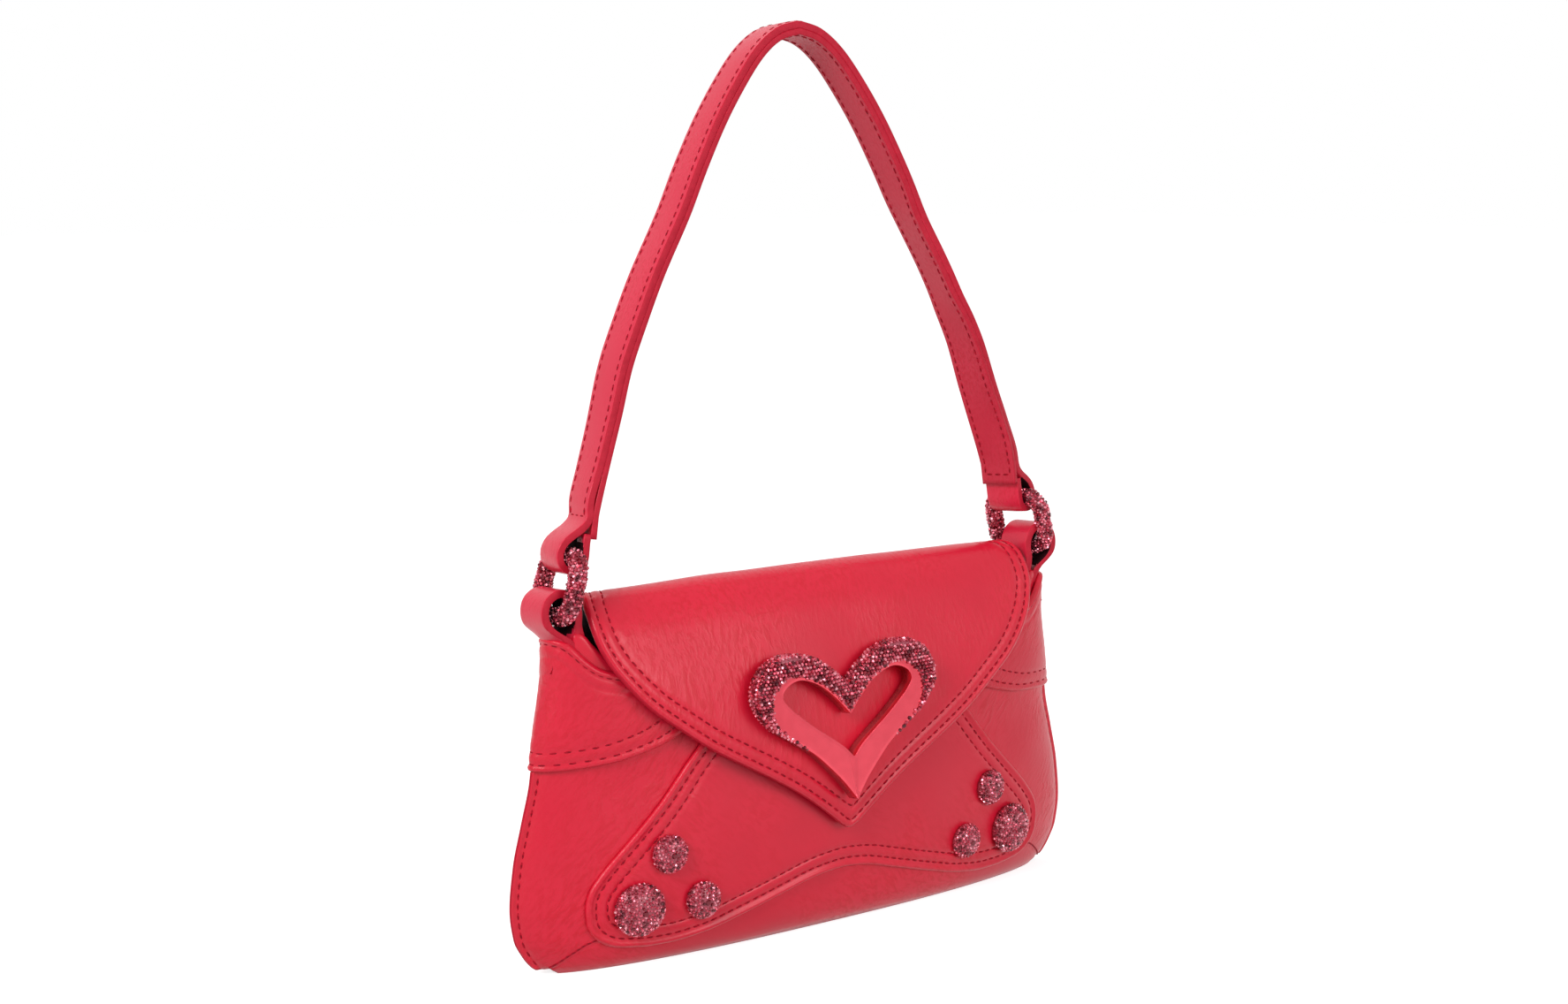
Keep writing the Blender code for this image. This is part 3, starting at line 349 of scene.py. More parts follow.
leatherLooks = {
    # crackle that runs down the flap; the crease is the width of one wrinkle in mm
    "glazed_flap_leather": {"turn": (0, 0, 0), "stretch": (1, 1, 0.2), "crease": 1.7, "least": 0.15, "relief": 0.25},
    # crackle that runs slanting down the sides
    "glazed_side_leather": {"turn": (0, 0.8, 0), "stretch": (0.28, 1, 1), "crease": 1.6, "least": 0.2, "relief": 0.42},
    # overlay and base: nearly smooth, creased only where the leather bends
    "glazed_front_leather": {"turn": (0, -0.7, 0), "stretch": (0.35, 1, 1), "crease": 1.6, "least": 0.0,
                             "relief": 0.22},
    # strap and tabs: pressed smooth, a little pinker where the light grazes it
    "smooth_strap_leather": {"turn": (0, 0, 0), "stretch": (1, 1, 0.5), "crease": 1.0, "least": 0.0,
                             "relief": 0.2, "colour": "#E62A4A", "deep": "#DE2644"},
    # underside of the strap: duller from wear, and painted darker as shade for the face turned from the light
    "inner_strap_leather": {"turn": (0, 0, 0), "stretch": (1, 1, 0.5), "crease": 1.0, "least": 0.1,
                            "relief": 0.3, "colour": "#D02A44", "deep": "#C8283E", "gloss": 0.42},
}
# the crease tint is painted shade, multiplied into the creases
leatherCommon = {"colour": "#E41C3A", "deep": "#D81634", "creaseShade": "#F2D2D4", "grain": 0.8, "grainShare": 0.22,
                 "depth": 0.25, "wander": 5, "wanderScale": 60.0, "creaseRange": (0.44, 0.62), "patchScale": 26.0,
                 "patchRange": (0.38, 0.66), "gloss": 0.3}     # grain, depth and wander in mm
leathers = {name: leatherMaterial(name, {**leatherCommon, **look}) for name, look in leatherLooks.items()}
flapLeather, sideLeather = leathers["glazed_flap_leather"], leathers["glazed_side_leather"]
frontLeather, strapLeather = leathers["glazed_front_leather"], leathers["smooth_strap_leather"]
strapBack = leathers["inner_strap_leather"]


# finishes that are one fine pattern in two colours; scales count per metre, and relief is strength and depth in mm
finishes = {
    # raw leather edge under rubbery edge paint: rounded over, with brush ripples 2 mm apart
    "painted_leather_edge": {
        "texture": ("TexNoise", {"Scale": 420.0, "Detail": 2.0}, "Fac"), "stops": (0.3, 0.7),
        "colours": ("#BE1630", "#CC1E38"), "relief": (0.2, 0.1),
        "gloss": {"Roughness": 0.5, "Specular IOR Level": 0.2}},
    # bonded polyester thread, twisted: its 0.5 mm plies are drawn as slanting ridges 1.1 mm apart, to show
    "bonded_polyester_thread": {
        "texture": ("TexWave", {"Scale": 320.0, "bands_direction": "DIAGONAL"}, "Fac"), "stops": (0, 1),
        "colours": ("#8A0A1E", "#B8142C"), "relief": (0.4, 0.1),
        "gloss": {"Roughness": 0.6, "Specular IOR Level": 0.15}},
    # dark red resin that the crystals are bedded in: it shows as the net between them
    "crystal_bedding_resin": {
        "texture": ("TexVoronoi", {"Scale": 1400.0}, "Distance"), "stops": (0, 1),
        "colours": ("#C45468", "#7A1A2C"), "relief": (0.6, 0.15), "gloss": {"Roughness": 0.3}},
    # cast zinc, polished, then dipped in clear red lacquer: a mirror that tints all it shows
    "red_lacquered_zinc": {
        "texture": ("TexNoise", {"Scale": 240.0, "Detail": 1.0}, "Fac"), "stops": (0.3, 0.7),
        "colours": ("#DA3A4C", "#E24052"), "relief": (0.04, 0.2),
        "gloss": {"Metallic": 0.75, "Roughness": 0.16, "Coat Weight": 0.5, "Coat Roughness": 0.04}},
    # inside of the loops, painted nearly black as the shade within them, with a short matt nap
    "loop_inside_painted_shade": {
        "texture": ("TexNoise", {"Scale": 1500.0, "Detail": 2.0}, "Fac"), "stops": (0, 1),
        "colours": ("#1E080C", "#3C1018"), "relief": (0.4, 0.1),
        "gloss": {"Roughness": 0.9, "Specular IOR Level": 0.1}},
    # black cotton twill, matt, with slanting ribs: the real 0.5 mm rib is drawn at 1.1 mm, to show
    "black_cotton_twill": {
        "texture": ("TexWave", {"Scale": 314.0, "bands_direction": "DIAGONAL"}, "Fac"), "stops": (0, 1),
        "colours": ("#0B0B0D", "#1B1B1F"), "relief": (0.5, 0.15), "gloss": {"Roughness": 0.85, "Sheen Weight": 0.3}},
}


def patternFinish(name):
    look = finishes[name]
    material, tree, shader = newMaterial(name)
    kind, settings, output = look["texture"]
    place = addNode(tree, "TexCoord").outputs["Object"]
    pattern = addNode(tree, kind, settings, {"Vector": place}).outputs[output]
    tint = colourRamp(tree, pattern, look["stops"], look["colours"])
    strength, depth = look["relief"]
    bump = addNode(tree, "Bump", {"Strength": strength, "Distance": depth * mm}, {"Height": pattern})
    tree.links.new(tint.outputs[0], shader.inputs["Base Color"])
    tree.links.new(bump.outputs[0], shader.inputs["Normal"])
    for socket, value in look["gloss"].items():
        shader.inputs[socket].default_value = value
    return material


# red lead-free crystal, foil-backed: one random tone per stone, where the pale pink tones are painted glints and the
# near-black ones painted dark reflections
crystalGlintTones = {0.0: "#4E0A1A", 0.2: "#861828", 0.45: "#B43048", 0.7: "#D0556A", 0.9: "#E48494", 1.0: "#EBA0AC"}
crystalGloss = {"Metallic": 0.6, "Roughness": 0.16, "Coat Weight": 0.35, "Coat Roughness": 0.05}


def cutCrystal():
    material, tree, shader = newMaterial("foiled_red_crystal")
    glintTone = addNode(tree, "Attribute", {"attribute_name": "glintTone"}).outputs["Fac"]
    tint = colourRamp(tree, glintTone, (0.0, 1.0), (crystalGlintTones[0.0], crystalGlintTones[1.0]))
    for stop, code in list(crystalGlintTones.items())[1:-1]:
        tint.color_ramp.elements.new(stop).color = linear(code)
    tree.links.new(tint.outputs[0], shader.inputs["Base Color"])
    for socket, value in crystalGloss.items():
        shader.inputs[socket].default_value = value
    return material


# turned and plated steel, or pressed board: fine marks that run across it
def brushedPlate(name, code, roughness, metallic):
    material, tree, shader = newMaterial(name)
    place = addNode(tree, "TexCoord").outputs["Object"]
    marks = addNode(tree, "TexNoise", {"Scale": 1800.0, "Detail": 3.0}, {"Vector": place}).outputs["Fac"]
    bump = addNode(tree, "Bump", {"Strength": 0.15, "Distance": 0.05 * mm}, {"Height": marks})
    tint = addNode(tree, "Mix", {"data_type": "RGBA", "blend_type": "MULTIPLY", 6: linear(code), 7: linear("#C8C8C8")},
                   {0: marks})
    tree.links.new(tint.outputs[2], shader.inputs["Base Color"])
    tree.links.new(bump.outputs[0], shader.inputs["Normal"])
    shader.inputs["Roughness"].default_value = roughness
    shader.inputs["Metallic"].default_value = metallic
    return material


edgePaint, thread, bedding, lacquer, loopShadeFinish, lining = [patternFinish(name) for name in finishes]
crystal = cutCrystal()
steel = brushedPlate("nickel_plated_steel", "#C4C4C8", 0.28, 1)
board = brushedPlate("pressed_bag_board", "#B8B0A4", 0.85, 0)
print("materials made")

# the body's shape: the same tables as in the part's source
body = {"halfLength": 126, "halfDepth": 20, "height": 115.5, "frontTop": 98, "seam": 27, "backSeam": 9,
        "seamDeep": 0.8, "seamWide": 1.3, "sag": 0.55}
levels = (0, 0.026, 0.069, 0.121, 0.216, 0.346, 0.476, 0.606, 0.658, 0.745, 0.831, 0.918, 1)
widthTable = smoothTable(levels, (0.897, 0.933, 0.964, 0.988, 1, 0.988, 0.96, 0.932, 0.928, 0.915, 0.898,
                                  0.885, 0.881))
depthTable = smoothTable(levels, (0.675, 0.825, 0.925, 0.975, 1, 1, 0.965, 0.89, 0.855, 0.785, 0.72, 0.69, 0.67))
squareLevels = (0, 0.52, 0.65, 0.78, 0.87, 1)
squareTable = smoothTable(squareLevels, (2.5, 2.5, 2.9, 4, 5, 6))
bluntTable = smoothTable(squareLevels, (0.6, 0.6, 0.58, 0.5, 0.47, 0.45))
seamTurns = (0, 0.083, 0.167, 0.25, 0.333, 0.417, 0.5, 0.583, 0.667, 0.75, 0.833, 0.917, 1)
seamTable = smoothTable(seamTurns, (1, 0.83, 0.655, 0.507, 0.437, 0.444, 0.493, 0.426, 0.3, 0.19, 0.115,
                                    0.085, 0.08))
backSeamTable = smoothTable(seamTurns, (1, 1, 1, 1, 1, 1, 1, 0.98, 0.85, 0.57, 0.345, 0.255, 0.24))
frontTopTable = smoothTable((0, 0.17, 0.33, 0.5, 0.67, 1), (0.98, 0.995, 1, 0.99, 0.97, 0.97))
backTopTable = smoothTable((0, 0.4, 0.52, 0.64, 1), (0.931, 0.931, 0.893, 0.822, 0.822))


# how far the soft leather stands in or out, in mm, the same for every layer
def sag(x, z, front):
    side = 0 if front else 40
    soft = noise.noise(Vector((x / 46, side, z / 34))) + 0.4 * noise.noise(Vector((x / 17, side + 9, z / 15)))
    return body["sag"] * soft * ease(0, 14, z)


# the level cut through the body at a height: half its length and depth, and how square and how blunt it is
def levelCut(z, growSide, grow):
    share = z / body["height"]
    return (body["halfLength"] * readTable(widthTable, share) + growSide,
            body["halfDepth"] * readTable(depthTable, share) + grow,
            readTable(squareTable, share), readTable(bluntTable, share))


def bodyPoint(angle, z, grow=0, growSide=None):
    halfLength, halfDepth, square, blunt = levelCut(z, grow if growSide is None else growSide, grow)
    across, along = math.cos(angle), math.sin(angle)
    x = math.copysign(halfLength * abs(across) ** (2 / square), across)
    y = math.copysign(halfDepth * abs(along) ** (2 * blunt), along)
    return Vector((x, y + math.copysign(sag(x, z, y < 0), y) * min(abs(along) * 1.6, 1), z))


def frontPoint(x, z, grow=0):
    halfLength, halfDepth, square, blunt = levelCut(z, grow, grow)
    flat = min(abs(x) / halfLength, 1) ** square
    return Vector((x, -(halfDepth * (1 - flat) ** blunt) - sag(x, z, True) * min((1 - flat) * 2, 1), z))


def turnFromMiddle(angle):
    return 1 - abs(math.atan2(abs(math.sin(angle)), abs(math.cos(angle)))) / (math.pi / 2)


# front tables hold on the front half of the round, back tables on the other
def byHalf(front, back, angle):
    return readTable(front if math.sin(angle) < 0 else back, turnFromMiddle(angle))


def seamHeight(angle):
    return body["seam" if math.sin(angle) < 0 else "backSeam"] * byHalf(seamTable, backSeamTable, angle)


# both leathers dip into the seam between them
def intoSeam(distance):
    return -body["seamDeep"] * (1 - ease(0, body["seamWide"], distance))


def panelTop(angle):
    return body["frontTop" if math.sin(angle) < 0 else "height"] * byHalf(frontTopTable, backTopTable, angle)


# front, back and bottom panels
panels = {"columns": 150, "rows": 56, "lipColumns": 6, "lipTop": 72, "lipFade": 4, "lipRoot": 1.7, "lipOut": 1.7,
          "lipFace": 0.95, "rowInset": 2.3, "rowLow": 3.5, "rowHigh": 71, "wall": 0.85}
bottomPanel = {"columns": 90, "rows": 36, "reach": 76, "wall": 1.4}     # reach in degrees each way from the middle
seamShadeCord = {"reach": 75, "steps": 120, "sides": 8, "radius": 0.42, "sunk": 0.12}


# how much of the lip is left at a height: it dies away under the yoke
def lipShare(z):
    return 1 - ease(panels["lipTop"], panels["lipTop"] + panels["lipFade"], z)


def halfLengthAt(z):
    return body["halfLength"] * readTable(widthTable, z / body["height"])


# angle from the side at which a panel leaves its round and goes over into the lip
def sideTurn(z):
    inset = panels["lipRoot"] * lipShare(z) + 0.05
    share = 1 - inset / halfLengthAt(z)
    return math.acos(share ** (readTable(squareTable, z / body["height"]) / 2))


# face of the lip: across runs from its root (0) to its edge (1)
def lipPoint(side, front, z, across, height=0):
    root = bodyPoint(sideTurn(z), z)
    reach = (panels["lipRoot"] + panels["lipOut"]) * lipShare(z) + 0.05
    face = panels["lipFace"] + (abs(root.y) - panels["lipFace"]) * (1 - ease(0, 0.4, across))
    face -= 0.35 * ease(0.85, 1, across)
    return Vector((side * (root.x + reach * across), (-1 if front else 1) * (face + height), z))


# one wrapped panel, pinched into a flat lip where it meets the other at the sides
def makePanel(front):
    columns, rows, lips = panels["columns"], panels["rows"], panels["lipColumns"]
    start = math.pi if front else 0
    way = 1 if front else -1

    def place(column, row):
        inner = min(max(column - lips, 0), columns - 2 * lips) / (columns - 2 * lips)
        beyond = max(lips - column, column - (columns - lips), 0) / lips
        rough = start + math.pi * min(max(inner, 0.03), 0.97)
        low, high = seamHeight(rough), panelTop(rough)
        z = low + (high - low) * (row / rows) ** 1.15
        if beyond > 0:
            return lipPoint((-1 if inner < 0.5 else 1) * way, front, z, beyond)
        turn = sideTurn(z)
        return bodyPoint(start + turn + (math.pi - 2 * turn) * inner, z, intoSeam(z - low))

    bm = skin(columns, rows, place)
    faceOut(bm, lambda p: Vector((0, -way, 0)) if abs(p.x) < 100 else Vector((p.x / 120, -way * 2, 0)))
    return bm


for name, front in (("front_panel", True), ("back_panel", False)):
    piece = finishPiece(name + "_leather", makePanel(front), [sideLeather, edgePaint], "bag")
    addWall(piece, panels["wall"], 1)
    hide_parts(name)


def makeBottom():
    columns, rows = bottomPanel["columns"], bottomPanel["rows"]
    reach = math.radians(bottomPanel["reach"])

    def place(column, row):
        angle = 1.5 * math.pi + reach * (column * 2 / columns - 1)
        way = row / rows * 3 - 1
        if 0 < way < 1:
            return bodyPoint(-angle, 0).lerp(bodyPoint(angle, 0), way)
        edge = -angle if way <= 0 else angle
        share = 1 - (1 - (-way if way <= 0 else way - 1)) ** 1.5
        high = seamHeight(edge) - 0.15
        return bodyPoint(edge, high * share, intoSeam(high * (1 - share)) * min(high / 2, 1))

    bm = skin(columns, rows, place)
    faceOut(bm, lambda p: Vector((0, p.y / 10, -1)))
    return bm


bottom = finishPiece("bottom_panel_leather", makeBottom(), [frontLeather, edgePaint], "bag")
addWall(bottom, bottomPanel["wall"], 1)
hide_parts("bottom_panel")


# a thin dark cord pinched in the seam between the bottom and the two wrapped panels, standing in for the seam's shade
def makeSeamShadeCord():
    reach, steps, parts = math.radians(seamShadeCord["reach"]), seamShadeCord["steps"], []
    for middle in (0.5 * math.pi, 1.5 * math.pi):
        angles = [middle + reach * (step * 2 / steps - 1) for step in range(steps + 1)]
        line = [(bodyPoint(a, seamHeight(a), -seamShadeCord["sunk"]), bodyPoint(a, seamHeight(a), 1)) for a in angles]

        def place(column, row):
            spot, out = line[row]
            away = (out - spot).normalized()
            ahead = (line[min(row + 1, steps)][0] - line[max(row - 1, 0)][0]).normalized()
            turn = 2 * math.pi * column / seamShadeCord["sides"]
            return spot + (away * math.cos(turn) + ahead.cross(away) * math.sin(turn)) * seamShadeCord["radius"]

        parts.append(skin(seamShadeCord["sides"], steps, place, around=True, capped=True))
    return parts


for word, bm in zip(("back", "front"), makeSeamShadeCord()):
    finishPiece("bottom_seam_shade_cord_" + word, bm, [thread], "bag")


def sewLips():
    bm = bmesh.new()
    across = 1 - panels["rowInset"] / (panels["lipRoot"] + panels["lipOut"])
    for side in (-1, 1):
        for front in (True, False):
            path = [(across, z) for z in np.linspace(panels["rowLow"], panels["rowHigh"], 66)]
            sewRow(bm, path, lambda u, v, h: lipPoint(side, front, v, u, h), 0.08)
    return bm


finishPiece("side_seam_stitching", sewLips(), [thread], "bag")
print("panels made")

# front overlay
overlay = {"half": 104.7, "low": 7.5, "tall": 84.5, "arch": 15.5, "archTall": 42,
           "rows": (3.4, 7.4), "sewn": 1.42, "sewnBelow": 86, "spacing": 3.2, "wall": 0.8,
           "rings": ((0.5, 0.25), (0.1, 0.55), (0, 1.0), (0.15, 1.65), (0.6, 2.2), (1.2, 2.35), (1.8, 2.05),
                     (2.4, 1.55), (3.0, 1.5), (3.4, 1.28), (3.8, 1.52), (4.6, 1.78), (5.4, 1.85), (6.4, 1.72),
                     (7.0, 1.55), (7.4, 1.3), (7.8, 1.55), (8.6, 1.75), (10, 1.82), (13, 1.7))}
overlayRise = (0, 0.018, 0.053, 0.1, 0.151, 0.219, 0.278, 0.334, 0.385, 0.456, 0.527, 0.61, 0.704, 0.781, 1)
overlayWidth = (0.783, 0.893, 0.953, 0.987, 0.998, 1, 0.984, 0.95, 0.912, 0.853, 0.793, 0.726, 0.659, 0.607, 0.44)
archTable = smoothTable((0, 0.096, 0.258, 0.415, 0.573, 0.712, 0.783, 1), (1, 0.935, 0.66, 0.37, 0.11, 0, 0, 0))


def overlayOutline():
    right = smoothPath([Vector((overlay["half"] * width, overlay["tall"] * rise))
                        for rise, width in zip(overlayRise, overlayWidth)], 6)
    base = [Vector((x, 0)) for x in np.linspace(-right[0].x, right[0].x, 60)][:-1]
    loop = []
    for point in base + right + [Vector((-p.x, p.y)) for p in right[:0:-1]]:
        lift = overlay["arch"] * readTable(archTable, min(abs(point.x) / overlay["half"], 1)) \
            * max(1 - point.y / overlay["archTall"], 0)
        loop.append((point.x, overlay["low"] + point.y + lift))
    return insideFirst(evenPath(loop, 1.7, closed=True))


overlayLoop = overlayOutline()
bm = cutPanel(overlayLoop, overlay["rings"], frontPoint, overlay["spacing"])[0]
faceOut(bm, lambda p: Vector((0, -1, 0)))
overlayPiece = finishPiece("front_overlay_leather", bm, [frontLeather, edgePaint], "bag")
addWall(overlayPiece, overlay["wall"])
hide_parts("front_overlay")


# the parts of a closed row that are kept
def visibleRun(loop, keep):
    flags = [keep(p) for p in loop]
    start = next((i for i in range(len(loop)) if flags[i] and not flags[i - 1]), 0)
    ordered = [(loop[(start + i) % len(loop)], flags[(start + i) % len(loop)]) for i in range(len(loop))]
    runs, current = [], []
    for point, good in ordered:
        if good and (not current or np.linalg.norm(point - current[-1]) > 1e-6):
            current.append(point)
        elif not good and current:
            runs.append(current)
            current = []
    if current:
        runs.append(current)
    return [np.array(run) for run in runs if len(run) > 2]


bm = bmesh.new()
for inset in overlay["rows"]:
    for run in visibleRun(insetLoop(overlayLoop, inset), lambda p: p[1] < overlay["sewnBelow"]):
        sewRow(bm, run, frontPoint, overlay["sewn"])
finishPiece("front_overlay_stitching", bm, [thread], "bag")
print("overlay made")

# yokes over the sides
yoke = {"low": 73, "rise": 16, "riseBack": 25, "reach": 80, "rows": (2.5, 6.6), "topRow": (2.1, 96, 200),
        "hemTop": 93, "sewn": 2.16,
        "sewnReach": 70, "spacing": 3, "wall": 0.8,
        "rings": ((0.55, 0.35), (0.12, 0.7), (0, 1.2), (0.15, 2.0), (0.6, 2.6), (1.2, 2.75), (1.8, 2.45),
                  (2.5, 2.05), (3.2, 2.35), (4.6, 2.5), (5.9, 2.35), (6.6, 2.08), (7.3, 2.3), (9, 2.35), (12, 2.2))}
yokeTopFront = smoothTable((0, 0.25, 0.372, 0.456, 0.544, 0.639, 0.706, 0.789, 1),
                           (102, 104.5, 106, 107.7, 111.3, 115.6, 117.6, 118.8, 119.2))
yokeTopBack = smoothTable((0, 0.4, 0.55, 0.65, 0.75, 1), (104, 105.5, 107.5, 112, 117.4, 119.2))
yokeTable = smoothTable((0.167, 0.25, 0.333, 0.417, 0.5, 0.667, 0.833, 1),
                        (1, 0.625, 0.375, 0.22, 0.11, 0.03, 0, 0))
sideAngles = np.linspace(0, math.radians(88), 90)
sidePoints = [bodyPoint(float(a), 95) for a in sideAngles]
sideRun = np.concatenate([[0], np.cumsum([(b - a).length for a, b in zip(sidePoints, sidePoints[1:])])])


def yokeAngle(u):
    return math.copysign(float(np.interp(abs(u), sideRun, sideAngles)), -u)


# the flat pattern of a yoke: u runs round the side from back to front, v is the height
def yokeSurface(side):
    def surface(u, v, height):
        angle = yokeAngle(u)
        return bodyPoint(angle if side > 0 else math.pi - angle, v, height)
    return surface


def yokeOutline():
    reach = float(np.interp(math.radians(yoke["reach"]), sideAngles, sideRun))
    low, high = [], []
    for u in np.linspace(-reach, reach, 90):
        angle = yokeAngle(u)
        rise = yoke["rise" if u > 0 else "riseBack"]     # at the back the hem ends under the flap
        low.append((u, yoke["low"] + rise * readTable(yokeTable, turnFromMiddle(angle))))
        high.append((u, readTable(yokeTopFront if u > 0 else yokeTopBack, turnFromMiddle(angle))))
    return insideFirst(evenPath(low + high[::-1], 1.5, closed=True))


yokeLoop = yokeOutline()
for side, word in bothEnds:
    surface = yokeSurface(side)
    bm = cutPanel(yokeLoop, yoke["rings"], surface, yoke["spacing"])[0]
    faceOut(bm, lambda p: Vector((side * (0.2 + abs(p.x) / 110), p.y / 12, 0)))
    piece = finishPiece("yoke_leather_" + word, bm, [sideLeather, edgePaint], "bag")
    addWall(piece, yoke["wall"])
    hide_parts("yoke_" + word)
    bm = bmesh.new()
    # two rows follow the hem, and one follows the mouth
    for inset, low, high in [(inset, 0, yoke["hemTop"]) for inset in yoke["rows"]] + [yoke["topRow"]]:
        for run in visibleRun(insetLoop(yokeLoop, inset),
                              lambda p: low < p[1] < high and abs(p[0]) < yoke["sewnReach"]):
            sewRow(bm, run, surface, yoke["sewn"])
    finishPiece("yoke_stitching_" + word, bm, [thread], "bag")
print("yokes made")

# mouth facing, lining and pocket
facing = {"columns": 180, "low": 86, "slack": 1.8,
          "profile": ((-0.1, -14), (-0.1, -9), (-0.1, -4), (-0.1, -1.4), (-0.45, -0.45), (-1.15, 0), (-1.85, -0.3),
                      (-2.3, -1.2), (-2.4, -3), (-2.4, -8), (-2.4, None), (-1.4, None), (-1.3, -14))}
liningBag = {"columns": 140, "rows": 36, "low": 3.6, "underTop": 2.6, "fold": 0.5, "in": 4.3, "inSide": 6.1}
pocket = {"low": 34, "tall": 48, "reach": 37.5, "in": 5.7, "belly": 0.35}      # reach in degrees
clothWall = 0.6
facingTopFront = smoothTable((0, 0.25, 0.36, 0.444, 0.522, 0.617, 0.68, 0.75, 1),
                             (104, 106, 108.3, 111.4, 116, 120.4, 120.8, 119.4, 118.6))
facingTopBack = smoothTable((0, 0.4, 0.55, 0.65, 0.75, 1), (107.2, 107.2, 109.5, 114, 117, 117.6))


def facingTop(angle):
    return byHalf(facingTopFront, facingTopBack, angle)


# a folded band round the mouth, its rolled top standing a little above the yokes
def makeFacing():
    def place(column, row):
        angle = 2 * math.pi * column / facing["columns"]
        out, drop = facing["profile"][row]
        top = facingTop(angle)
        z = facing["low"] if drop is None else max(top + drop, facing["low"] + 0.5 + row * 0.01)
        slack = facing["slack"] * ease(0.66, 0.74, turnFromMiddle(angle))
        point = bodyPoint(angle, min(z, body["height"]), out, out - slack)
        point.z = z
        return point

    return skin(facing["columns"], len(facing["profile"]), place, around=True, along=True)


facingPiece = finishPiece("mouth_facing_leather", makeFacing(), [frontLeather], "bag")
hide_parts("mouth_facing")


# cloth bag that hangs from the facing, with soft upright folds
def makeLining():
    def place(column, row):
        angle = 2 * math.pi * column / liningBag["columns"]
        low, high = liningBag["low"], facingTop(angle) - liningBag["underTop"]
        z = low + (high - low) * (row / liningBag["rows"]) ** 1.4
        fold = liningBag["fold"] * noise.noise(Vector((math.cos(angle) * 3.2, math.sin(angle) * 6, z / 60))) \
            * ease(0, 30, z) * (1 - ease(80, 94, z))
        slack = facing["slack"] * ease(0.66, 0.74, turnFromMiddle(angle)) * ease(60, 90, z)
        neck = ease(84, 96, z)      # the cloth comes out to meet the facing
        point = bodyPoint(angle, min(z, body["height"]), -liningBag["in"] + 1.2 * neck + fold,
                          -liningBag["inSide"] + 3.0 * neck + fold - slack)
        point.z = z
        return point

    bm = skin(liningBag["columns"], liningBag["rows"], place, around=True)
    rim = [edge for edge in bm.edges if edge.is_boundary and edge.verts[0].co.z < 20]
    bmesh.ops.holes_fill(bm, edges=rim, sides=0)
    bmesh.ops.recalc_face_normals(bm, faces=bm.faces)
    if sum(f.normal.dot(Vector((f.calc_center_median().x, f.calc_center_median().y, 0))) for f in bm.faces) < 0:
        bmesh.ops.reverse_faces(bm, faces=bm.faces)
    return bm


liningPiece = addWall(finishPiece("lining_cloth", makeLining(), [lining], "bag"), clothWall)
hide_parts("lining")


def makePocket():
    def place(column, row):
        angle = math.pi / 2 + math.radians(pocket["reach"]) * (column / 30 - 1)
        belly = pocket["belly"] * math.sin(math.pi * column / 60) * (row / 16)
        return bodyPoint(angle, pocket["low"] + pocket["tall"] * row / 16, -pocket["in"] - belly)

    bm = skin(60, 16, place)
    faceOut(bm, lambda p: Vector((0, 1, 0)))
    return bm


pocketPiece = addWall(finishPiece("slip_pocket_cloth", makePocket(), [lining], "bag"), clothWall)
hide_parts("slip_pocket")
print("inside made")

# flap
flap = {"front": 27.2, "tip": 38.808, "peak": 133.4, "half": 100.206, "tail": 11, "rows": (2.9, 7.1),
        "sewn": -0.22, "spacing": 3, "wall": 0.85, "liningWall": 0.9, "tailPoints": ((15.4, 97.5), (15.8, 102.5)),
        "bendStart": (0, 16.0, 106.5), "bendEnd": (0, 13.9, 107.45),     # leans, so as to pass over the tip
        "waver": 0.35, "rollSag": 1.1, "tuck": 1.1,
        "rings": ((0.7, -3.0), (0.2, -2.6), (0, -1.9), (0.04, -1.1), (0.35, -0.35), (0.9, 0.1), (1.6, 0.22),
                  (2.2, 0.02), (2.6, -0.2), (2.95, -0.34), (3.3, -0.2), (4, 0.06), (5, 0.18), (6, 0.06),
                  (6.7, -0.18), (7.1, -0.32), (7.5, -0.18), (8.3, 0.02), (9.8, 0.08), (13, 0))}
flapDepths = (0.59, 0.58, 0.53, 0.42, 0.26, 0.07, -0.12, -0.275, -0.4, -0.505, -0.61, -0.71, -0.795, -0.865,
              -0.92, -0.965, -0.99, -1, -1, -0.985)
flapHeights = (0.7312, 0.8107, 0.8839, 0.939, 0.978, 1, 0.9915, 0.9567, 0.9068, 0.85, 0.7643, 0.6713, 0.5784,
               0.4854, 0.4028, 0.3202, 0.2479, 0.1704, 0.093, 0)
flapWidths = (0.9, 0.905, 0.915, 0.928, 0.946, 0.966, 0.986, 0.997, 0.998, 0.992, 0.962, 0.903, 0.822, 0.708, 0.597,
              0.463, 0.342, 0.223, 0.123, 0.015)
flapCorners = [Vector((flap["front"] * d, flap["tip"] + (flap["peak"] - flap["tip"]) * h))
               for d, h in zip(flapDepths, flapHeights)]
flapStart = 8 * len(flap["tailPoints"])
flapLine = np.array([tuple(p) for p in smoothPath([Vector(p) for p in flap["tailPoints"]] + flapCorners, 8)])
flapRun = runAlong(flapLine)
flapRun -= flapRun[flapStart]     # zero at the hinge, so the sewn tail behind it is negative
flapAhead = np.gradient(flapLine, flapRun, axis=0)
flapAhead /= np.linalg.norm(flapAhead, axis=1)[:, None]
flapLong = flapRun[-1]
cornerRuns = [float(flapRun[flapStart + 8 * i]) for i in range(len(flapCorners))]
flapWidthTable = smoothTable(cornerRuns, [flap["half"] * w for w in flapWidths], 400)


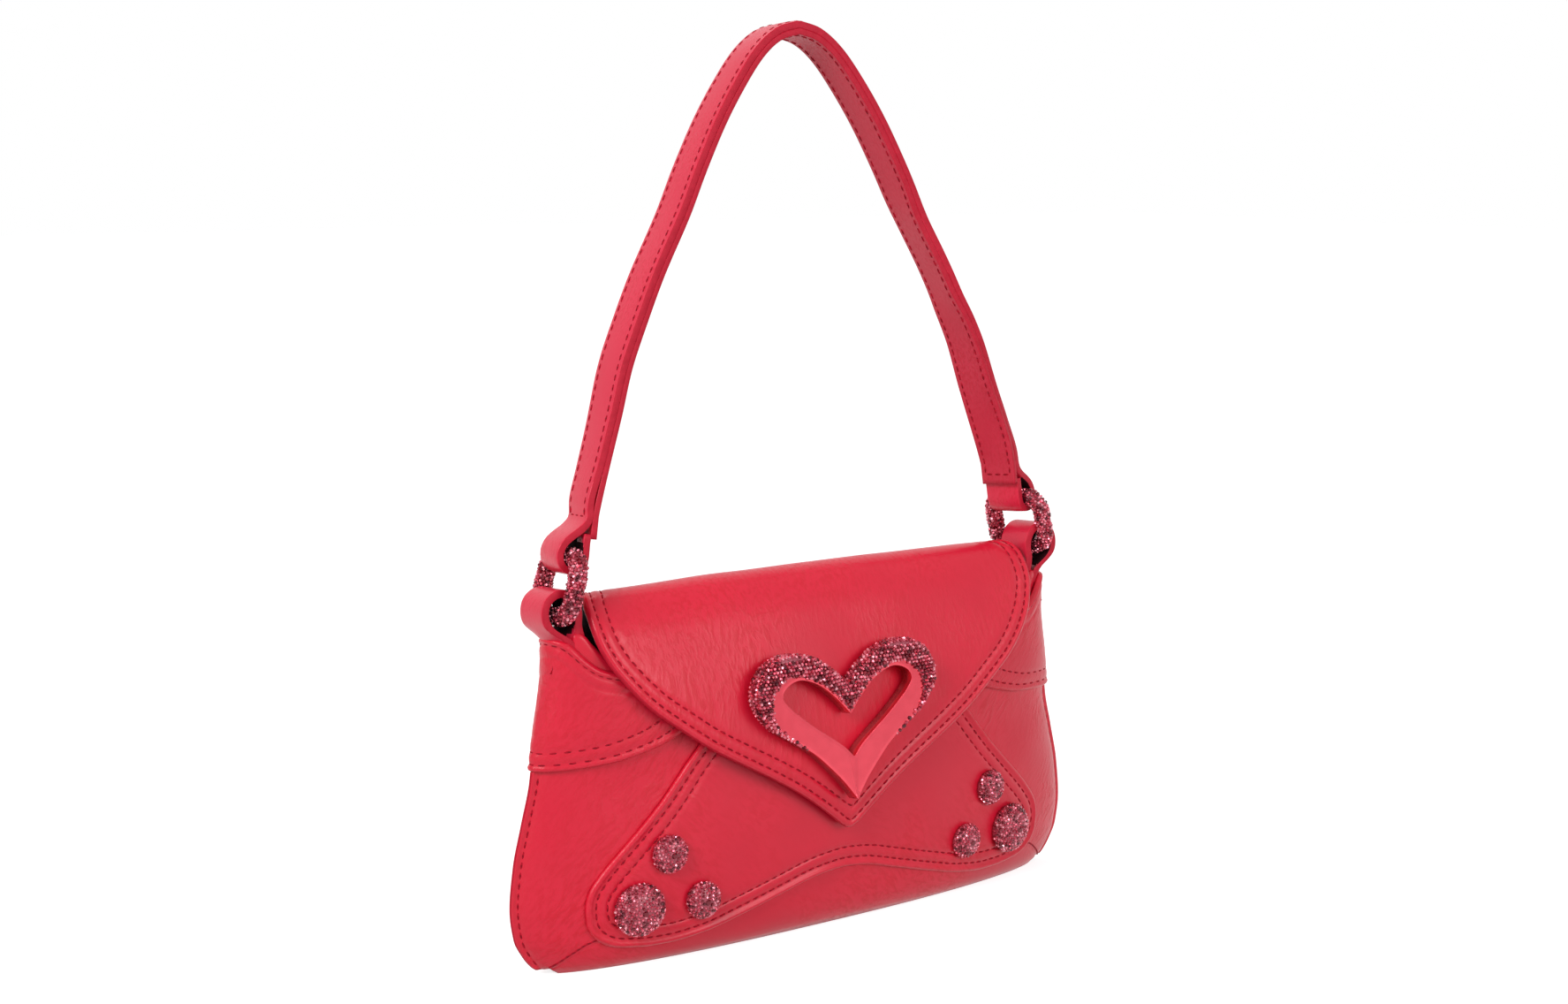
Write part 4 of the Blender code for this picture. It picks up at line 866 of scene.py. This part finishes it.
# face of the flap: x across, s along it from the hinge over the top to the tip
def flapSurface(x, s, height):
    y, z, ay, az = (float(np.interp(s, flapRun, values)) for values in (*flapLine.T, *flapAhead.T))
    over = max(s - flapLong, 0) - max(flapRun[0] - s, 0)
    soft = flap["waver"] * noise.noise(Vector((x / 30, 3, s / 34))) * ease(4, 20, s)
    # the roll sinks towards its ends, and the sewn tail follows the round of the back
    soft -= flap["rollSag"] * (x / 97) ** 2 * ease(12, 30, s) * (1 - ease(55, 75, s))
    tuck = flap["tuck"] * (abs(x) / 84) ** 4 * ease(2, -6, s) if s < 2 else 0
    height += soft
    return Vector((x, y + ay * over + az * height - tuck, z + az * over - ay * height))


def flapOutward(p):
    return Vector((0, p.y + 4, (p.z - 95) * 2)) if p.z > 112 else Vector((0, p.y, 0))


def flapOutline():
    right = [(readTable(flapWidthTable, s), s) for s in np.linspace(0, flapLong - 1.0, 150)]
    right[-1] = (0.8, flapLong - 0.2)
    side = [(88.2, -flap["tail"]), (89.5, -flap["tail"] + 1.5)] + right
    loop = side + [(-x, s) for x, s in reversed(side)]
    return insideFirst(evenPath(loop, 1.6, closed=True))


flapLoop = flapOutline()
bm, ringOf = cutPanel(flapLoop, flap["rings"], flapSurface, flap["spacing"])
for face in bm.faces:
    if max(v[ringOf] for v in face.verts) <= 4:
        face.material_index = 1
faceOut(bm, flapOutward)
flapPiece = finishPiece("flap_outer_leather", bm, [flapLeather, edgePaint], None)
addWall(flapPiece, flap["wall"])
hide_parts("flap_outer")


# the flap's inner face, tucked just inside the turned edge
def makeFlapLining():
    right = [(max(readTable(flapWidthTable, s) - 0.9, 0.4), s) for s in np.linspace(1, flapLong - 2.2, 120)]
    loop = insideFirst(evenPath(right + [(-x, s) for x, s in reversed(right)], 2.2, closed=True))
    bm = cutPanel(loop, ((0, -2.7), (2.5, -2.65), (5, -2.65)), flapSurface, 4)[0]
    faceOut(bm, flapOutward)
    return bm


flapInside = finishPiece("flap_lining_cloth", makeFlapLining(), [lining], None)
addWall(flapInside, flap["liningWall"])
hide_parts("flap_lining")

bm = bmesh.new()
for inset in flap["rows"]:
    for run in visibleRun(insetLoop(flapLoop, inset), lambda p: p[1] > -flap["tail"] - 1):
        sewRow(bm, run, flapSurface, flap["sewn"])
flapThread = finishPiece("flap_stitching", bm, [thread], None)
for piece in (flapPiece, flapInside, flapThread):
    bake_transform(piece)
print("flap made")

# heart ornament
heart = {"half": 40.6, "tall": 55, "wall": 5.2, "bevel": 0.9, "x": -3.0, "rise": 12.2, "lean": 8.5,
         "standoff": 0.5, "pave": 1.55, "bedDown": 0.36, "dome": 1.5, "domeFoot": 0.1, "bedSunk": 0.55, "bedWall": 0.5}
heartOuter = ((0, 0.765), (0.15, 0.86), (0.34, 0.955), (0.56, 1), (0.76, 0.985), (0.92, 0.91), (1, 0.79),
              (0.985, 0.69), (0.91, 0.6), (0.78, 0.51), (0.6, 0.425), (0.42, 0.335), (0.28, 0.24), (0.16, 0.15),
              (0.07, 0.07), (0, 0))
heartInner = ((0, 0.565), (0.16, 0.69), (0.33, 0.785), (0.52, 0.832), (0.67, 0.8), (0.725, 0.735), (0.66, 0.665),
              (0.55, 0.595), (0.4, 0.51), (0.25, 0.435), (0.1, 0.355), (0, 0.28))
bedInner = ((0.485, 0.375), (0.58, 0.425), (0.69, 0.485), (0.79, 0.56), (0.83, 0.63), (0.842, 0.7), (0.8, 0.77),
            (0.72, 0.82), (0.62, 0.852), (0.5, 0.845), (0.32, 0.795), (0.15, 0.7), (0, 0.578))
middle = flap["tip"] + heart["rise"] + heart["tall"] / 2
straight = [p for p in flapCorners if p.x < 0]
depthThere = float(np.interp(-middle, [-p.y for p in straight], [p.x for p in straight]))
lean = Matrix.Rotation(math.pi / 2 - math.radians(heart["lean"]), 4, "X")
heartOut, heartUp = lean.to_3x3().col[2], lean.to_3x3().col[1]
heartFrame = Matrix.Translation(Vector((heart["x"], depthThere, middle)) + heartOut * heart["standoff"]
                                - heartUp * heart["tall"] / 2) @ lean


def halfHeart(shares, steps=8):
    return smoothPath([Vector((x * heart["half"], z * heart["tall"])) for x, z in shares], steps)


def wholeHeart(shares, spacing=0.9):
    half = halfHeart(shares)
    loop = [tuple(p) for p in half] + [(-p.x, p.y) for p in reversed(half[1:-1])]
    return insideFirst(evenPath(loop, spacing, closed=True))


# the cast frame: two outlines bridged, drawn up to its thickness, its edges rounded
def makeHeart():
    bm = bmesh.new()
    outer, inner = wholeHeart(heartOuter), wholeHeart(heartInner)
    margin = heart["bevel"] + 0.35     # a narrow ring inside each edge keeps the middle of the face flat
    previous = []
    for loop in (outer, insetLoop(outer, margin), insetLoop(inner, -margin), inner):
        made = bmesh.ops.create_circle(bm, segments=len(loop), radius=1)
        for vert, (x, y) in zip(made["verts"], loop):
            vert.co = (x, y, 0)
        edges = list({edge for vert in made["verts"] for edge in vert.link_edges})
        if previous:
            bmesh.ops.bridge_loops(bm, edges=previous + edges)
        previous = edges
    top = bmesh.ops.extrude_face_region(bm, geom=bm.faces[:], use_keep_orig=True)
    raised = [v for v in top["geom"] if isinstance(v, bmesh.types.BMVert)]
    bmesh.ops.translate(bm, verts=raised, vec=(0, 0, heart["wall"]))
    bmesh.ops.recalc_face_normals(bm, faces=bm.faces)
    bm.normal_update()
    rims = [e for e in bm.edges if all(abs(v.co.z - heart["wall"]) < 1e-4 for v in e.verts)
            and len(e.link_faces) == 2 and abs(e.link_faces[0].normal.z - e.link_faces[1].normal.z) > 0.5]
    bmesh.ops.bevel(bm, geom=rims, offset=heart["bevel"], affect="EDGES", segments=3, profile=0.5,
                    material=-1, clamp_overlap=True)
    bmesh.ops.transform(bm, matrix=heartFrame, verts=bm.verts)
    return bm


bm = makeHeart()
heartPiece = finishPiece("heart_lacquered_frame", bm, [lacquer], "flap")
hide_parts("heart_frame")

# crystals climb the outer wall and lie on a low dome between the outline and the inner edge of the bed
outerLine = evenPath(halfHeart(heartOuter, 24), 0.5)
innerLine = evenPath(halfHeart(bedInner, 24), 0.5)
bedEnd = next(i for i in range(len(outerLine) // 2, len(outerLine))
              if outerLine[i][1] < heart["tall"] * heart["bedDown"])     # the stones end part of the way down the flank
bedRegion = np.vstack([outerLine[:bedEnd], innerLine])


# whether a point of the right half lies between the outline and the bed's inner edge
def insideBed(x, z):
    x0, z0 = bedRegion.T
    x1, z1 = np.roll(bedRegion, -1, 0).T
    crosses = (z0 > z) != (z1 > z)
    safe = np.where(crosses, z1 - z0, 1)
    return np.count_nonzero(crosses & (x < x0 + (z - z0) * (x1 - x0) / safe)) % 2 == 1


# the dome under the crystals: low at both edges, highest between them
def bedHeight(x, z):
    spot = np.array([abs(x), z])
    toOuter = float(np.linalg.norm(outerLine - spot, axis=1).min())
    toInner = float(np.linalg.norm(innerLine - spot, axis=1).min())
    width = toOuter + toInner
    return heart["wall"] + heart["domeFoot"] \
        + heart["dome"] * min(width / 8, 1) * math.sin(math.pi * toOuter / width) ** 0.6


def paveHeart():
    bm = bmesh.new()
    glintTone = bm.verts.layers.float.new("glintTone")
    size, turned = heart["pave"], heartFrame.to_3x3()

    def place(x, y, z, out):
        for mirror in (-1, 1):
            setStone(bm, glintTone, heartFrame @ Vector((x * mirror, y, z)),
                     turned @ Vector((out.x * mirror, out.y, out.z)), size * chance.uniform(0.82, 1.1))

    step = size * 0.95
    for row in range(int(heart["tall"] / step / 0.87)):
        for column in range(int(heart["half"] / step) + 1):
            x = (column + 0.5 * (row % 2)) * step + chance.uniform(-0.16, 0.16) + size * 0.3
            z = row * step * 0.87 + chance.uniform(-0.16, 0.16)
            if insideBed(x, z):
                slopeX = bedHeight(x + 0.3, z) - bedHeight(x - 0.3, z)
                slopeZ = bedHeight(x, z + 0.3) - bedHeight(x, z - 0.3)
                place(x, z, bedHeight(x, z), Vector((-slopeX, -slopeZ, 0.6)))
    edge, wall = evenPath(outerLine[:bedEnd], size), heart["wall"]
    for i in range(1, len(edge) - 1):
        ahead = edge[i + 1] - edge[i - 1]
        away = Vector((-ahead[1], ahead[0], 0)).normalized()
        rows = [(0.9, 0.1, 0.1), (2.2, 0.1, 0.2), (3.5, 0.1, 0.3), (wall - 0.35, 0.05, 0.8), (wall + 0.2, -0.7, 3)]
        for j, (height, out, tilt) in enumerate(rows if i < len(edge) * 0.8 else rows[3:4]):
            x, y = edge[i] + (ahead * 0.25 if j % 2 else 0)
            if x > size * 0.3:
                place(x + away.x * out, y + away.y * out, height, Vector((away.x, away.y, tilt)))
    return bm


finishPiece("heart_crystals", paveHeart(), [crystal], "flap", flat=True)


# the resin bed, from the foot of the wall over the edge and the dome
def makeBed():
    bm = bmesh.new()
    inner = evenPath(innerLine, len(innerLine) * 0.5 / 121)
    outer = evenPath(outerLine[:bedEnd][::-1], bedEnd * 0.5 / 121)
    count = min(len(inner), len(outer)) - 1
    for mirror in (-1, 1):
        def place(column, row):
            a, b = outer[column], inner[column]
            if row < 2:
                return heartFrame @ Vector((a[0] * mirror, a[1], (0.8, heart["wall"] * 0.9)[row]))
            x, y = a + (b - a) * (row - 2) / 9
            return heartFrame @ Vector((x * mirror, y, bedHeight(x, y) - heart["bedSunk"]))

        half = skin(count, 11, place)
        faceOut(half, lambda p: heartOut)
        mesh = bpy.data.meshes.new("half")
        half.to_mesh(mesh)
        half.free()
        bm.from_mesh(mesh)
        bpy.data.meshes.remove(mesh)
    return bm


bedPiece = addWall(finishPiece("heart_crystal_bedding", makeBed(), [bedding], "flap"), heart["bedWall"])
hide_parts("heart_crystal_bed")
print("heart made")

# studs
studs = {"large": {"radius": 9.8, "rise": 6.5, "x": 86, "z": 22.3},
         "upper": {"radius": 7, "rise": 5, "x": 74.3, "z": 40.6},
         "inner": {"radius": 7, "rise": 5, "x": 61.3, "z": 22}}
studCrown = {"stone": 1.3, "bed": 1.7, "foot": 0.8, "turn": 2.399963, "middle": (1.3, 0.75, 0.9), "bare": 1.25}


# a plain dome under crystals that wind out from one larger stone in the middle
def makeStud(stud, side):
    x, z = stud["x"] * side, stud["z"]
    bed, foot, stone = studCrown["bed"], studCrown["foot"], studCrown["stone"]
    across = frontPoint(x + 1, z, bed) - frontPoint(x - 1, z, bed)
    up = frontPoint(x, z + 1, bed) - frontPoint(x, z - 1, bed)
    out = across.cross(up).normalized()
    frameHere = frameOn(frontPoint(x, z, bed), out)
    radius, rise = stud["radius"] - 0.45, stud["rise"] - 0.35     # the stones stand proud of the dome
    core, stones = bmesh.new(), bmesh.new()
    dome = [(radius * math.cos(a), foot + (rise - foot) * math.sin(a)) for a in np.linspace(0, math.pi / 2, 9)]
    for first, last in zip([(0, 0), (radius * 0.97, 0)] + dome, [(radius * 0.97, 0)] + dome):
        a, b = core.verts.new((first[0], 0, first[1])), core.verts.new((last[0], 0, last[1]))
        core.edges.new((a, b))
    bmesh.ops.remove_doubles(core, verts=core.verts, dist=0.001)
    bmesh.ops.spin(core, geom=core.verts[:] + core.edges[:], cent=(0, 0, 0), axis=(0, 0, 1), dvec=(0, 0, 0),
                   angle=2 * math.pi, steps=36, use_merge=True)
    bmesh.ops.remove_doubles(core, verts=core.verts, dist=0.001)
    bmesh.ops.recalc_face_normals(core, faces=core.faces)
    bmesh.ops.transform(core, matrix=frameHere, verts=core.verts)
    glintTone = stones.verts.layers.float.new("glintTone")
    count = int(2 * math.pi * (radius ** 2 + rise ** 2) / 2 / (stone ** 2 * 0.86))
    for i in range(count):
        tall = 1 - (i + 0.5) / count
        ring = math.sqrt(max(1 - tall * tall, 0))
        turn = i * studCrown["turn"]     # the golden angle, so that the stones wind out evenly
        spot = Vector((radius * ring * math.cos(turn), radius * ring * math.sin(turn), foot + (rise - foot) * tall))
        if ring * radius < studCrown["bare"]:
            continue
        lean = Vector((spot.x / radius ** 2, spot.y / radius ** 2, (spot.z - foot) / (rise - foot) ** 2 + 0.004))
        setStone(stones, glintTone, frameHere @ spot, frameHere.to_3x3() @ lean, stone * chance.uniform(0.85, 1.15))
    wide, narrow, deep = studCrown["middle"]
    made = bmesh.ops.create_cone(stones, cap_ends=True, segments=8, radius1=wide, radius2=narrow, depth=deep,
                                 matrix=frameOn(frameHere @ Vector((0, 0, rise + 0.1)), out))
    # the middle stone is painted dark, as a dark reflection
    for vert in made["verts"]:
        vert[glintTone] = 0.1
    return core, stones


for side, sideWord in bothEnds:
    for word, stud in studs.items():
        core, stones = makeStud(stud, side)
        node = "stud_" + word + "_" + sideWord
        corePiece = finishPiece(node + "_dome", core, [bedding], "bag")
        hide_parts(node)
        finishPiece(node + "_crystals", stones, [crystal], "bag", flat=True)
print("studs made")

# handle: tabs, rings, strap
handle = {"height": 119.15, "lean": -3.9, "bar": (109.006, 7.0), "reach": 20.6, "ringLean": 16.4,
          "barRadius": 2.6, "ringHalf": 10.4, "band": 14.8, "rise": 3.0, "corner": 5.6, "stone": 1.45, "rows": 13,
          "loopReach": 9.5}
handleFrame = Matrix.Translation((0, 0, handle["height"])) \
    @ Matrix.Rotation(math.radians(handle["lean"]), 4, "X")
toHandle = handleFrame.inverted()
lowerBar = Vector(handle["bar"])
lean = math.radians(handle["ringLean"])
upperBar = lowerBar + Vector((-math.sin(lean), math.cos(lean))) * handle["reach"]
# the right end of the handle stands higher and its ring is turned more, as the photograph shows
ringPose = {-1: {"turn": 0, "slide": 0}, 1: {"turn": 21, "slide": 2.2}}


def riseAt(x, z):
    return handle["rise"] * ease(20, 90, x) * (1 - ease(40, 140, z))


# middle line of a ring in its own plane: a rounded rectangle
def ringLine():
    half, high, corner = handle["ringHalf"], handle["reach"], handle["corner"]
    loop = []
    for index, (y, z) in enumerate(((1, 1), (-1, 1), (-1, 0), (1, 0))):
        for step in range(13):
            a = math.pi / 2 * (index + step / 12)
            loop.append((y * (half - corner) + corner * math.cos(a),
                         (high - corner if z else corner) + corner * math.sin(a)))
    return evenPath(loop, 1.0, closed=True)


def makeRing(side):
    pose = ringPose[side]
    place = handleFrame @ Matrix.Translation((lowerBar.x * side, pose["slide"],
                                              lowerBar.y + riseAt(lowerBar.x * side, 0))) \
        @ Matrix.Rotation(math.radians(pose["turn"]), 4, "Z") @ Matrix.Rotation(-side * lean, 4, "Y")
    line = ringLine()
    count, sides, around = len(line), 12, handle["rows"]
    ahead = np.roll(line, -1, 0) - np.roll(line, 1, 0)
    ahead /= np.linalg.norm(ahead, axis=1)[:, None]
    stones = bmesh.new()

    def barPoint(i, a, radius):
        i %= count
        out = Vector((0, ahead[i][1], -ahead[i][0]))
        across = Vector((1, 0, 0))
        return Vector((0, line[i][0], line[i][1])) + (out * math.cos(a) + across * math.sin(a)) * radius

    core = skin(sides, count, lambda column, row: place @ barPoint(row, 2 * math.pi * column / sides,
                                                                   handle["barRadius"] + 0.05),
                around=True, along=True)
    glintTone = stones.verts.layers.float.new("glintTone")
    for i in range(count):
        centre = Vector((0, line[i][0], line[i][1]))
        for j in range(around):
            a = 2 * math.pi * (j + 0.5 * (i % 2)) / around + chance.uniform(-0.1, 0.1)
            spot = barPoint(i, a, handle["barRadius"] + 0.2 + chance.uniform(-0.15, 0.35))
            setStone(stones, glintTone, place @ spot, place.to_3x3() @ (spot - centre),
                     handle["stone"] * chance.uniform(0.8, 1.15))
    return core, stones


for side, word in bothEnds:
    core, stones = makeRing(side)
    piece = finishPiece("ring_bar_" + word, core, [bedding], word + "_ring")
    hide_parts("ring_" + word)
    finishPiece("ring_crystals_" + word, stones, [crystal], word + "_ring", flat=True)


# cross-section of a flat strap, its edges rounded over: pairs of across and out
def bandProfile(width, thick, round_=0.45, crown=0.0):
    half, deep = width / 2, thick / 2
    points = []
    for x, y, a in ((half, deep, 0), (-half, deep, 90), (-half, -deep, 180), (half, -deep, 270)):
        for step in (0, 30, 60, 90):
            turn = math.radians(a + step)
            points.append((x - math.copysign(round_, x) + round_ * math.cos(turn),
                           y - math.copysign(round_, y) + round_ * math.sin(turn)))
    top = [(half * s, deep + crown * (1 - s * s)) for s in (0.8, 0.55, 0.3, 0, -0.3, -0.55, -0.8)]
    under = [(-x, -deep) for x, y in top]
    return points[:4] + top + points[4:12] + under + points[12:]


# a band swept along a path in the handle's plane; place(x, w, z) brings it into the world
def bandSkin(path, profile, place, capped=True):
    line = [Vector(p) for p in path]
    ahead = [(line[min(i + 1, len(line) - 1)] - line[max(i - 1, 0)]).normalized() for i in range(len(line))]

    def corner(column, row):
        w, out = profile[column]
        side = Vector((-ahead[row].y, ahead[row].x))
        spot = line[row] + side * out
        return place(spot.x, w, spot.y)

    bm = skin(len(profile), len(line) - 1, corner, around=True, capped=capped)
    bm.normal_update()
    across = (place(0, 1, 100) - place(0, 0, 100)).normalized()
    for face in bm.faces:
        if abs(face.normal.dot(across)) > 0.62:
            face.material_index = 1     # edge paint on the two narrow sides
    return bm


# the inner face of a loop is painted nearly black as shade; x and z are the loop's middle
def shadeLoopInside(bm, x, z):
    for face in bm.faces:
        middle, out = toHandle @ face.calc_center_median(), toHandle.to_3x3() @ face.normal
        away = Vector((math.copysign(x, middle.x) - middle.x, 0, z - middle.z))
        if away.length < handle["loopReach"] and out.dot(away.normalized()) > 0.55:
            face.material_index = 2


def inHandle(x, w, z):
    return handleFrame @ Vector((x, w, z + riseAt(x, z)))


strapSideX = (0, 0.101, 0.197, 0.293, 0.394, 0.4925, 0.577, 0.697, 0.781, 0.853, 0.905, 0.957, 1, 1.024)
strapSideZ = (1, 0.984, 0.943, 0.876, 0.79, 0.688, 0.591, 0.471, 0.372, 0.274, 0.167, 0.07, 0, -0.04)
strapLoop = ((-7.0, 13.5), (-5.8, 11.2), (-3.3, 9.1), (-0.2, 7.3), (2.8, 5.0), (4.4, 1.9), (4.3, -1.2), (2.8, -3.6),
             (0, -4.3), (-2.9, -3.6), (-4.6, -1.0), (-5.1, 2), (-5.5, 5), (-6.0, 7.6))
strap = {"tall": 162.4, "shoulder": (9.2, 19.6), "spread": 1.4, "outer": 2.7, "inner": 2.3, "innerDrop": -2.45,
         "stitchEdge": 2.0, "sewnAbove": 12.5, "crown": 0.25, "foot": ((93.5, 42), (94.3, 38), (95.1, 32.4))}
half, low = upperBar.x - strap["shoulder"][0], upperBar.y + strap["shoulder"][1]
strapSide = [Vector((half * x + strap["spread"] * (1 - ease(0, 0.45, z)), low + strap["tall"] * z))
             for x, z in zip(strapSideX, strapSideZ)]
loopPoints = [upperBar + Vector(p) for p in strapLoop]


def bothSides(right):
    return [Vector((-p.x, p.y)) for p in reversed(right)] + list(right[1:])


def offsetPath(path, distance):
    moved = []
    for i, point in enumerate(path):
        ahead = (path[min(i + 1, len(path) - 1)] - path[max(i - 1, 0)]).normalized()
        moved.append(point + Vector((-ahead.y, ahead.x)) * distance)
    return moved


# the feet are turned a little, as a worn strap's are: degrees by height, for the left and the right leg
twistShares = (-0.12, -0.03, 0.03, 0.08, 0.14, 0.2, 0.27, 0.33, 0.4, 0.55, 0.65, 0.8, 1)
twistTables = {-1: smoothTable(twistShares, (-8, -6, -4, -2, -1, 1, 2, 3, 3, 2, 2, 1, 0)),
               1: smoothTable(twistShares, (15, 20, 27, 25, 18, 14, 9.5, 6, -3, -5, 2, 2, 0))}
legX, legZ = ([p[i] for p in strapSide][::-1] for i in (0, 1))


def inStrap(x, w, z):
    turn = math.radians(readTable(twistTables[1 if x > 0 else -1], (z - low) / strap["tall"]))
    middle = math.copysign(float(np.interp(z, legZ, legX)), x)
    turn *= ease(8, 30, abs(middle))
    away = x - middle
    return inHandle(middle + away * math.cos(turn) - w * math.sin(turn),
                    w * math.cos(turn) + away * math.sin(turn), z)


outerPath = [Vector(p) for p in evenPath(bothSides(smoothPath(strapSide[:-1] + loopPoints, 6)), 1.5)]
bm = bandSkin(outerPath, bandProfile(handle["band"], strap["outer"], 0.4, strap["crown"]), inStrap)
shadeLoopInside(bm, upperBar.x, upperBar.y + 1.5)
strapPiece = finishPiece("strap_outer_leather", bm, [strapLeather, edgePaint, loopShadeFinish], "strap")
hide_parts("strap_outer")
innerSide = [p for p in offsetPath(smoothPath(strapSide, 6), strap["innerDrop"]) if p.y > low + 3]
innerPath = bothSides(smoothPath(innerSide[::6] + [Vector(p) for p in strap["foot"]], 6))
innerPath = [Vector(p) for p in evenPath(innerPath, 2)]
bm = bandSkin(innerPath, bandProfile(handle["band"] - 0.1, strap["inner"], 0.35), inStrap)
strapInside = finishPiece("strap_lining_leather", bm, [strapBack, edgePaint], "strap")
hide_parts("strap_lining", "strap_tape")


# one row of stitches 2 mm inside each edge, on both faces, closed by a short row above each loop
def sewStrap(bm, path, height, lowest):
    line = np.array([tuple(p) for p in path])
    run = runAlong(line)
    ahead = np.gradient(line, run, axis=0)
    edge = handle["band"] / 2 - strap["stitchEdge"]
    sewn = run[line[:, 1] > lowest]

    def surface(s, w, out):
        x, z, ax, az = (float(np.interp(s, run, values)) for values in (*line.T, *ahead.T))
        size = math.hypot(ax, az)
        return inStrap(x - az / size * out, w, z + ax / size * out)

    for w in (-edge, edge):
        sewRow(bm, [(s, w) for s in np.linspace(sewn[0], sewn[-1], 300)], surface, height)
    for s in (sewn[0], sewn[-1]):
        sewRow(bm, [(s, w) for w in (-edge, 0, edge)], surface, height, edge * 2 / 3)


bm = bmesh.new()
sewStrap(bm, outerPath, strap["outer"] / 2 + strap["crown"] * 0.45, upperBar.y + strap["sewnAbove"])
sewStrap(bm, innerPath, -strap["inner"] / 2 - 0.02, strap["foot"][-1][1] + 3)
finishPiece("strap_stitching", bm, [thread], "strap")

# a tab: one strip that rises from under the yoke, rounds the ring and goes down inside the mouth
tab = {"thick": 3.0, "bend": 5.0, "foldLow": 113.5, "foldHigh": 122.5,
       "line": ((110.6, -18), (110.6, -9), (110.6, -3.9), (111.8, -0.9), (114.4, 2.8), (116.3, 7.4),
                (115.5, 12.0), (112.2, 14.7), (108.4, 14.9), (105.3, 13.0), (103.5, 9.6), (103.4, 5.4),
                (104.7, 1.9), (106.6, -1.5), (107.4, -6.5), (107.4, -14))}


def makeTab(side):
    line = [Vector(p) for p in evenPath(smoothPath(tab["line"], 8), 0.8)]

    def place(x, w, z):
        bend = tab["bend"] * (w / 7) ** 2 * (1 - ease(-4.5, 5, z))     # curled along the rounded end of the mouth
        point = inHandle((x - bend) * side, w, z)
        flat = Vector(((x - bend) * side, w, handle["height"] + z))
        return flat.lerp(point, ease(-8, 0, z))

    bm = bandSkin(line, bandProfile(handle["band"], tab["thick"], 0.5), place)
    shadeLoopInside(bm, lowerBar.x, lowerBar.y + 1)
    return bm


for side, word in bothEnds:
    piece = finishPiece("tab_leather_" + word, makeTab(side), [strapLeather, edgePaint, loopShadeFinish], None)
    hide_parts("tab_loop_" + word, "tab_tongue_" + word)
    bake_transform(piece)
print("handle made")

# pieces carried over from the part
carried = {"snap": steel, "heart_screw": steel, "stud_nut": steel, "base_board": board, "flap_filler": board}
for name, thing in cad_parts.items():
    for start, material in carried.items():
        if name.startswith(start):
            for slot in thing.material_slots:
                slot.material = material

# floor, light and camera
room = {"floor": "#BCBCBC", "size": 6000, "sky": 0.4, "glow": 0.8}
lamps = {"key_softbox": ((-1.2, -0.4, 0.9), 0.7, 11.2), "fill_softbox": ((0.4, -1.4, 0.6), 0.8, 6.8),
         "top_softbox": ((0.1, 0.5, 1.3), 0.8, 3.0)}     # place and size in metres, power in watts


# 1 where a ray of one of the kinds looks, else 0
def seenBy(tree, *kinds):
    ray = addNode(tree, "LightPath")
    seen = ray.outputs[kinds[0]]
    for kind in kinds[1:]:
        seen = addNode(tree, "Math", {"operation": "MAXIMUM"}, {0: seen, 1: ray.outputs[kind]}).outputs[0]
    return seen


bm = bmesh.new()
bmesh.ops.create_grid(bm, x_segments=1, y_segments=1, size=room["size"])
# matt paper: white to the camera and in reflections, while it still takes the bag's shadow
floorMaterial, tree, shader = newMaterial("white_studio_paper")
shader.inputs["Base Color"].default_value = linear(room["floor"])
shader.inputs["Roughness"].default_value = 0.9
seen = seenBy(tree, "Is Camera Ray", "Is Glossy Ray")
glow = addNode(tree, "Math", {"operation": "MULTIPLY", 1: room["glow"]}, {0: seen}).outputs[0]
tree.links.new(glow, shader.inputs["Emission Strength"])
shader.inputs["Emission Color"].default_value = (1, 1, 1, 1)
finishPiece("floor", bm, [floorMaterial])

world = bpy.data.worlds.new("studio")
bpy.context.scene.world = world
world.use_nodes = True
tree = world.node_tree
tree.nodes.clear()
seen = seenBy(tree, "Is Camera Ray", "Is Glossy Ray", "Is Transmission Ray")
level = addNode(tree, "MapRange", {1: 0.0, 2: 1.0, 3: room["sky"], 4: 1.0}, {0: seen}).outputs[0]
light = addNode(tree, "Background", {"Color": (1, 1, 1, 1)}, {"Strength": level})
addNode(tree, "OutputWorld", {}, {"Surface": light.outputs[0]})

for name, (place, size, power) in lamps.items():
    lamp = bpy.data.lights.new(name, "AREA")
    lamp.shape, lamp.size, lamp.energy = "DISK", size, power
    thing = bpy.data.objects.new(name, lamp)
    bpy.context.scene.collection.objects.link(thing)
    thing.location = place
    thing.rotation_euler = (Vector((0, 0, 0.1)) - Vector(place)).to_track_quat("-Z", "Y").to_euler()

# the photograph's viewing angle: metres, degrees and a lens in mm
view = {"place": (-0.5307, -0.6953, 0.2890), "yaw": 36.764, "pitch": 8.657, "roll": 0.249, "lens": 2735.2 / 1775 * 36}
cameraData = bpy.data.cameras.new("camera")
cameraData.sensor_width, cameraData.lens = 36, view["lens"]
cameraData.clip_start, cameraData.clip_end = 0.01, 50
camera = bpy.data.objects.new("camera", cameraData)
bpy.context.scene.collection.objects.link(camera)
camera.matrix_world = Matrix.Translation(view["place"]) @ Matrix.Rotation(-math.radians(view["yaw"]), 4, "Z") \
    @ Matrix.Rotation(math.pi / 2 - math.radians(view["pitch"]), 4, "X") \
    @ Matrix.Rotation(math.radians(view["roll"]), 4, "Z")
bpy.context.scene.camera = camera
bpy.context.scene.view_settings.view_transform = "Standard"
print("scene lit")
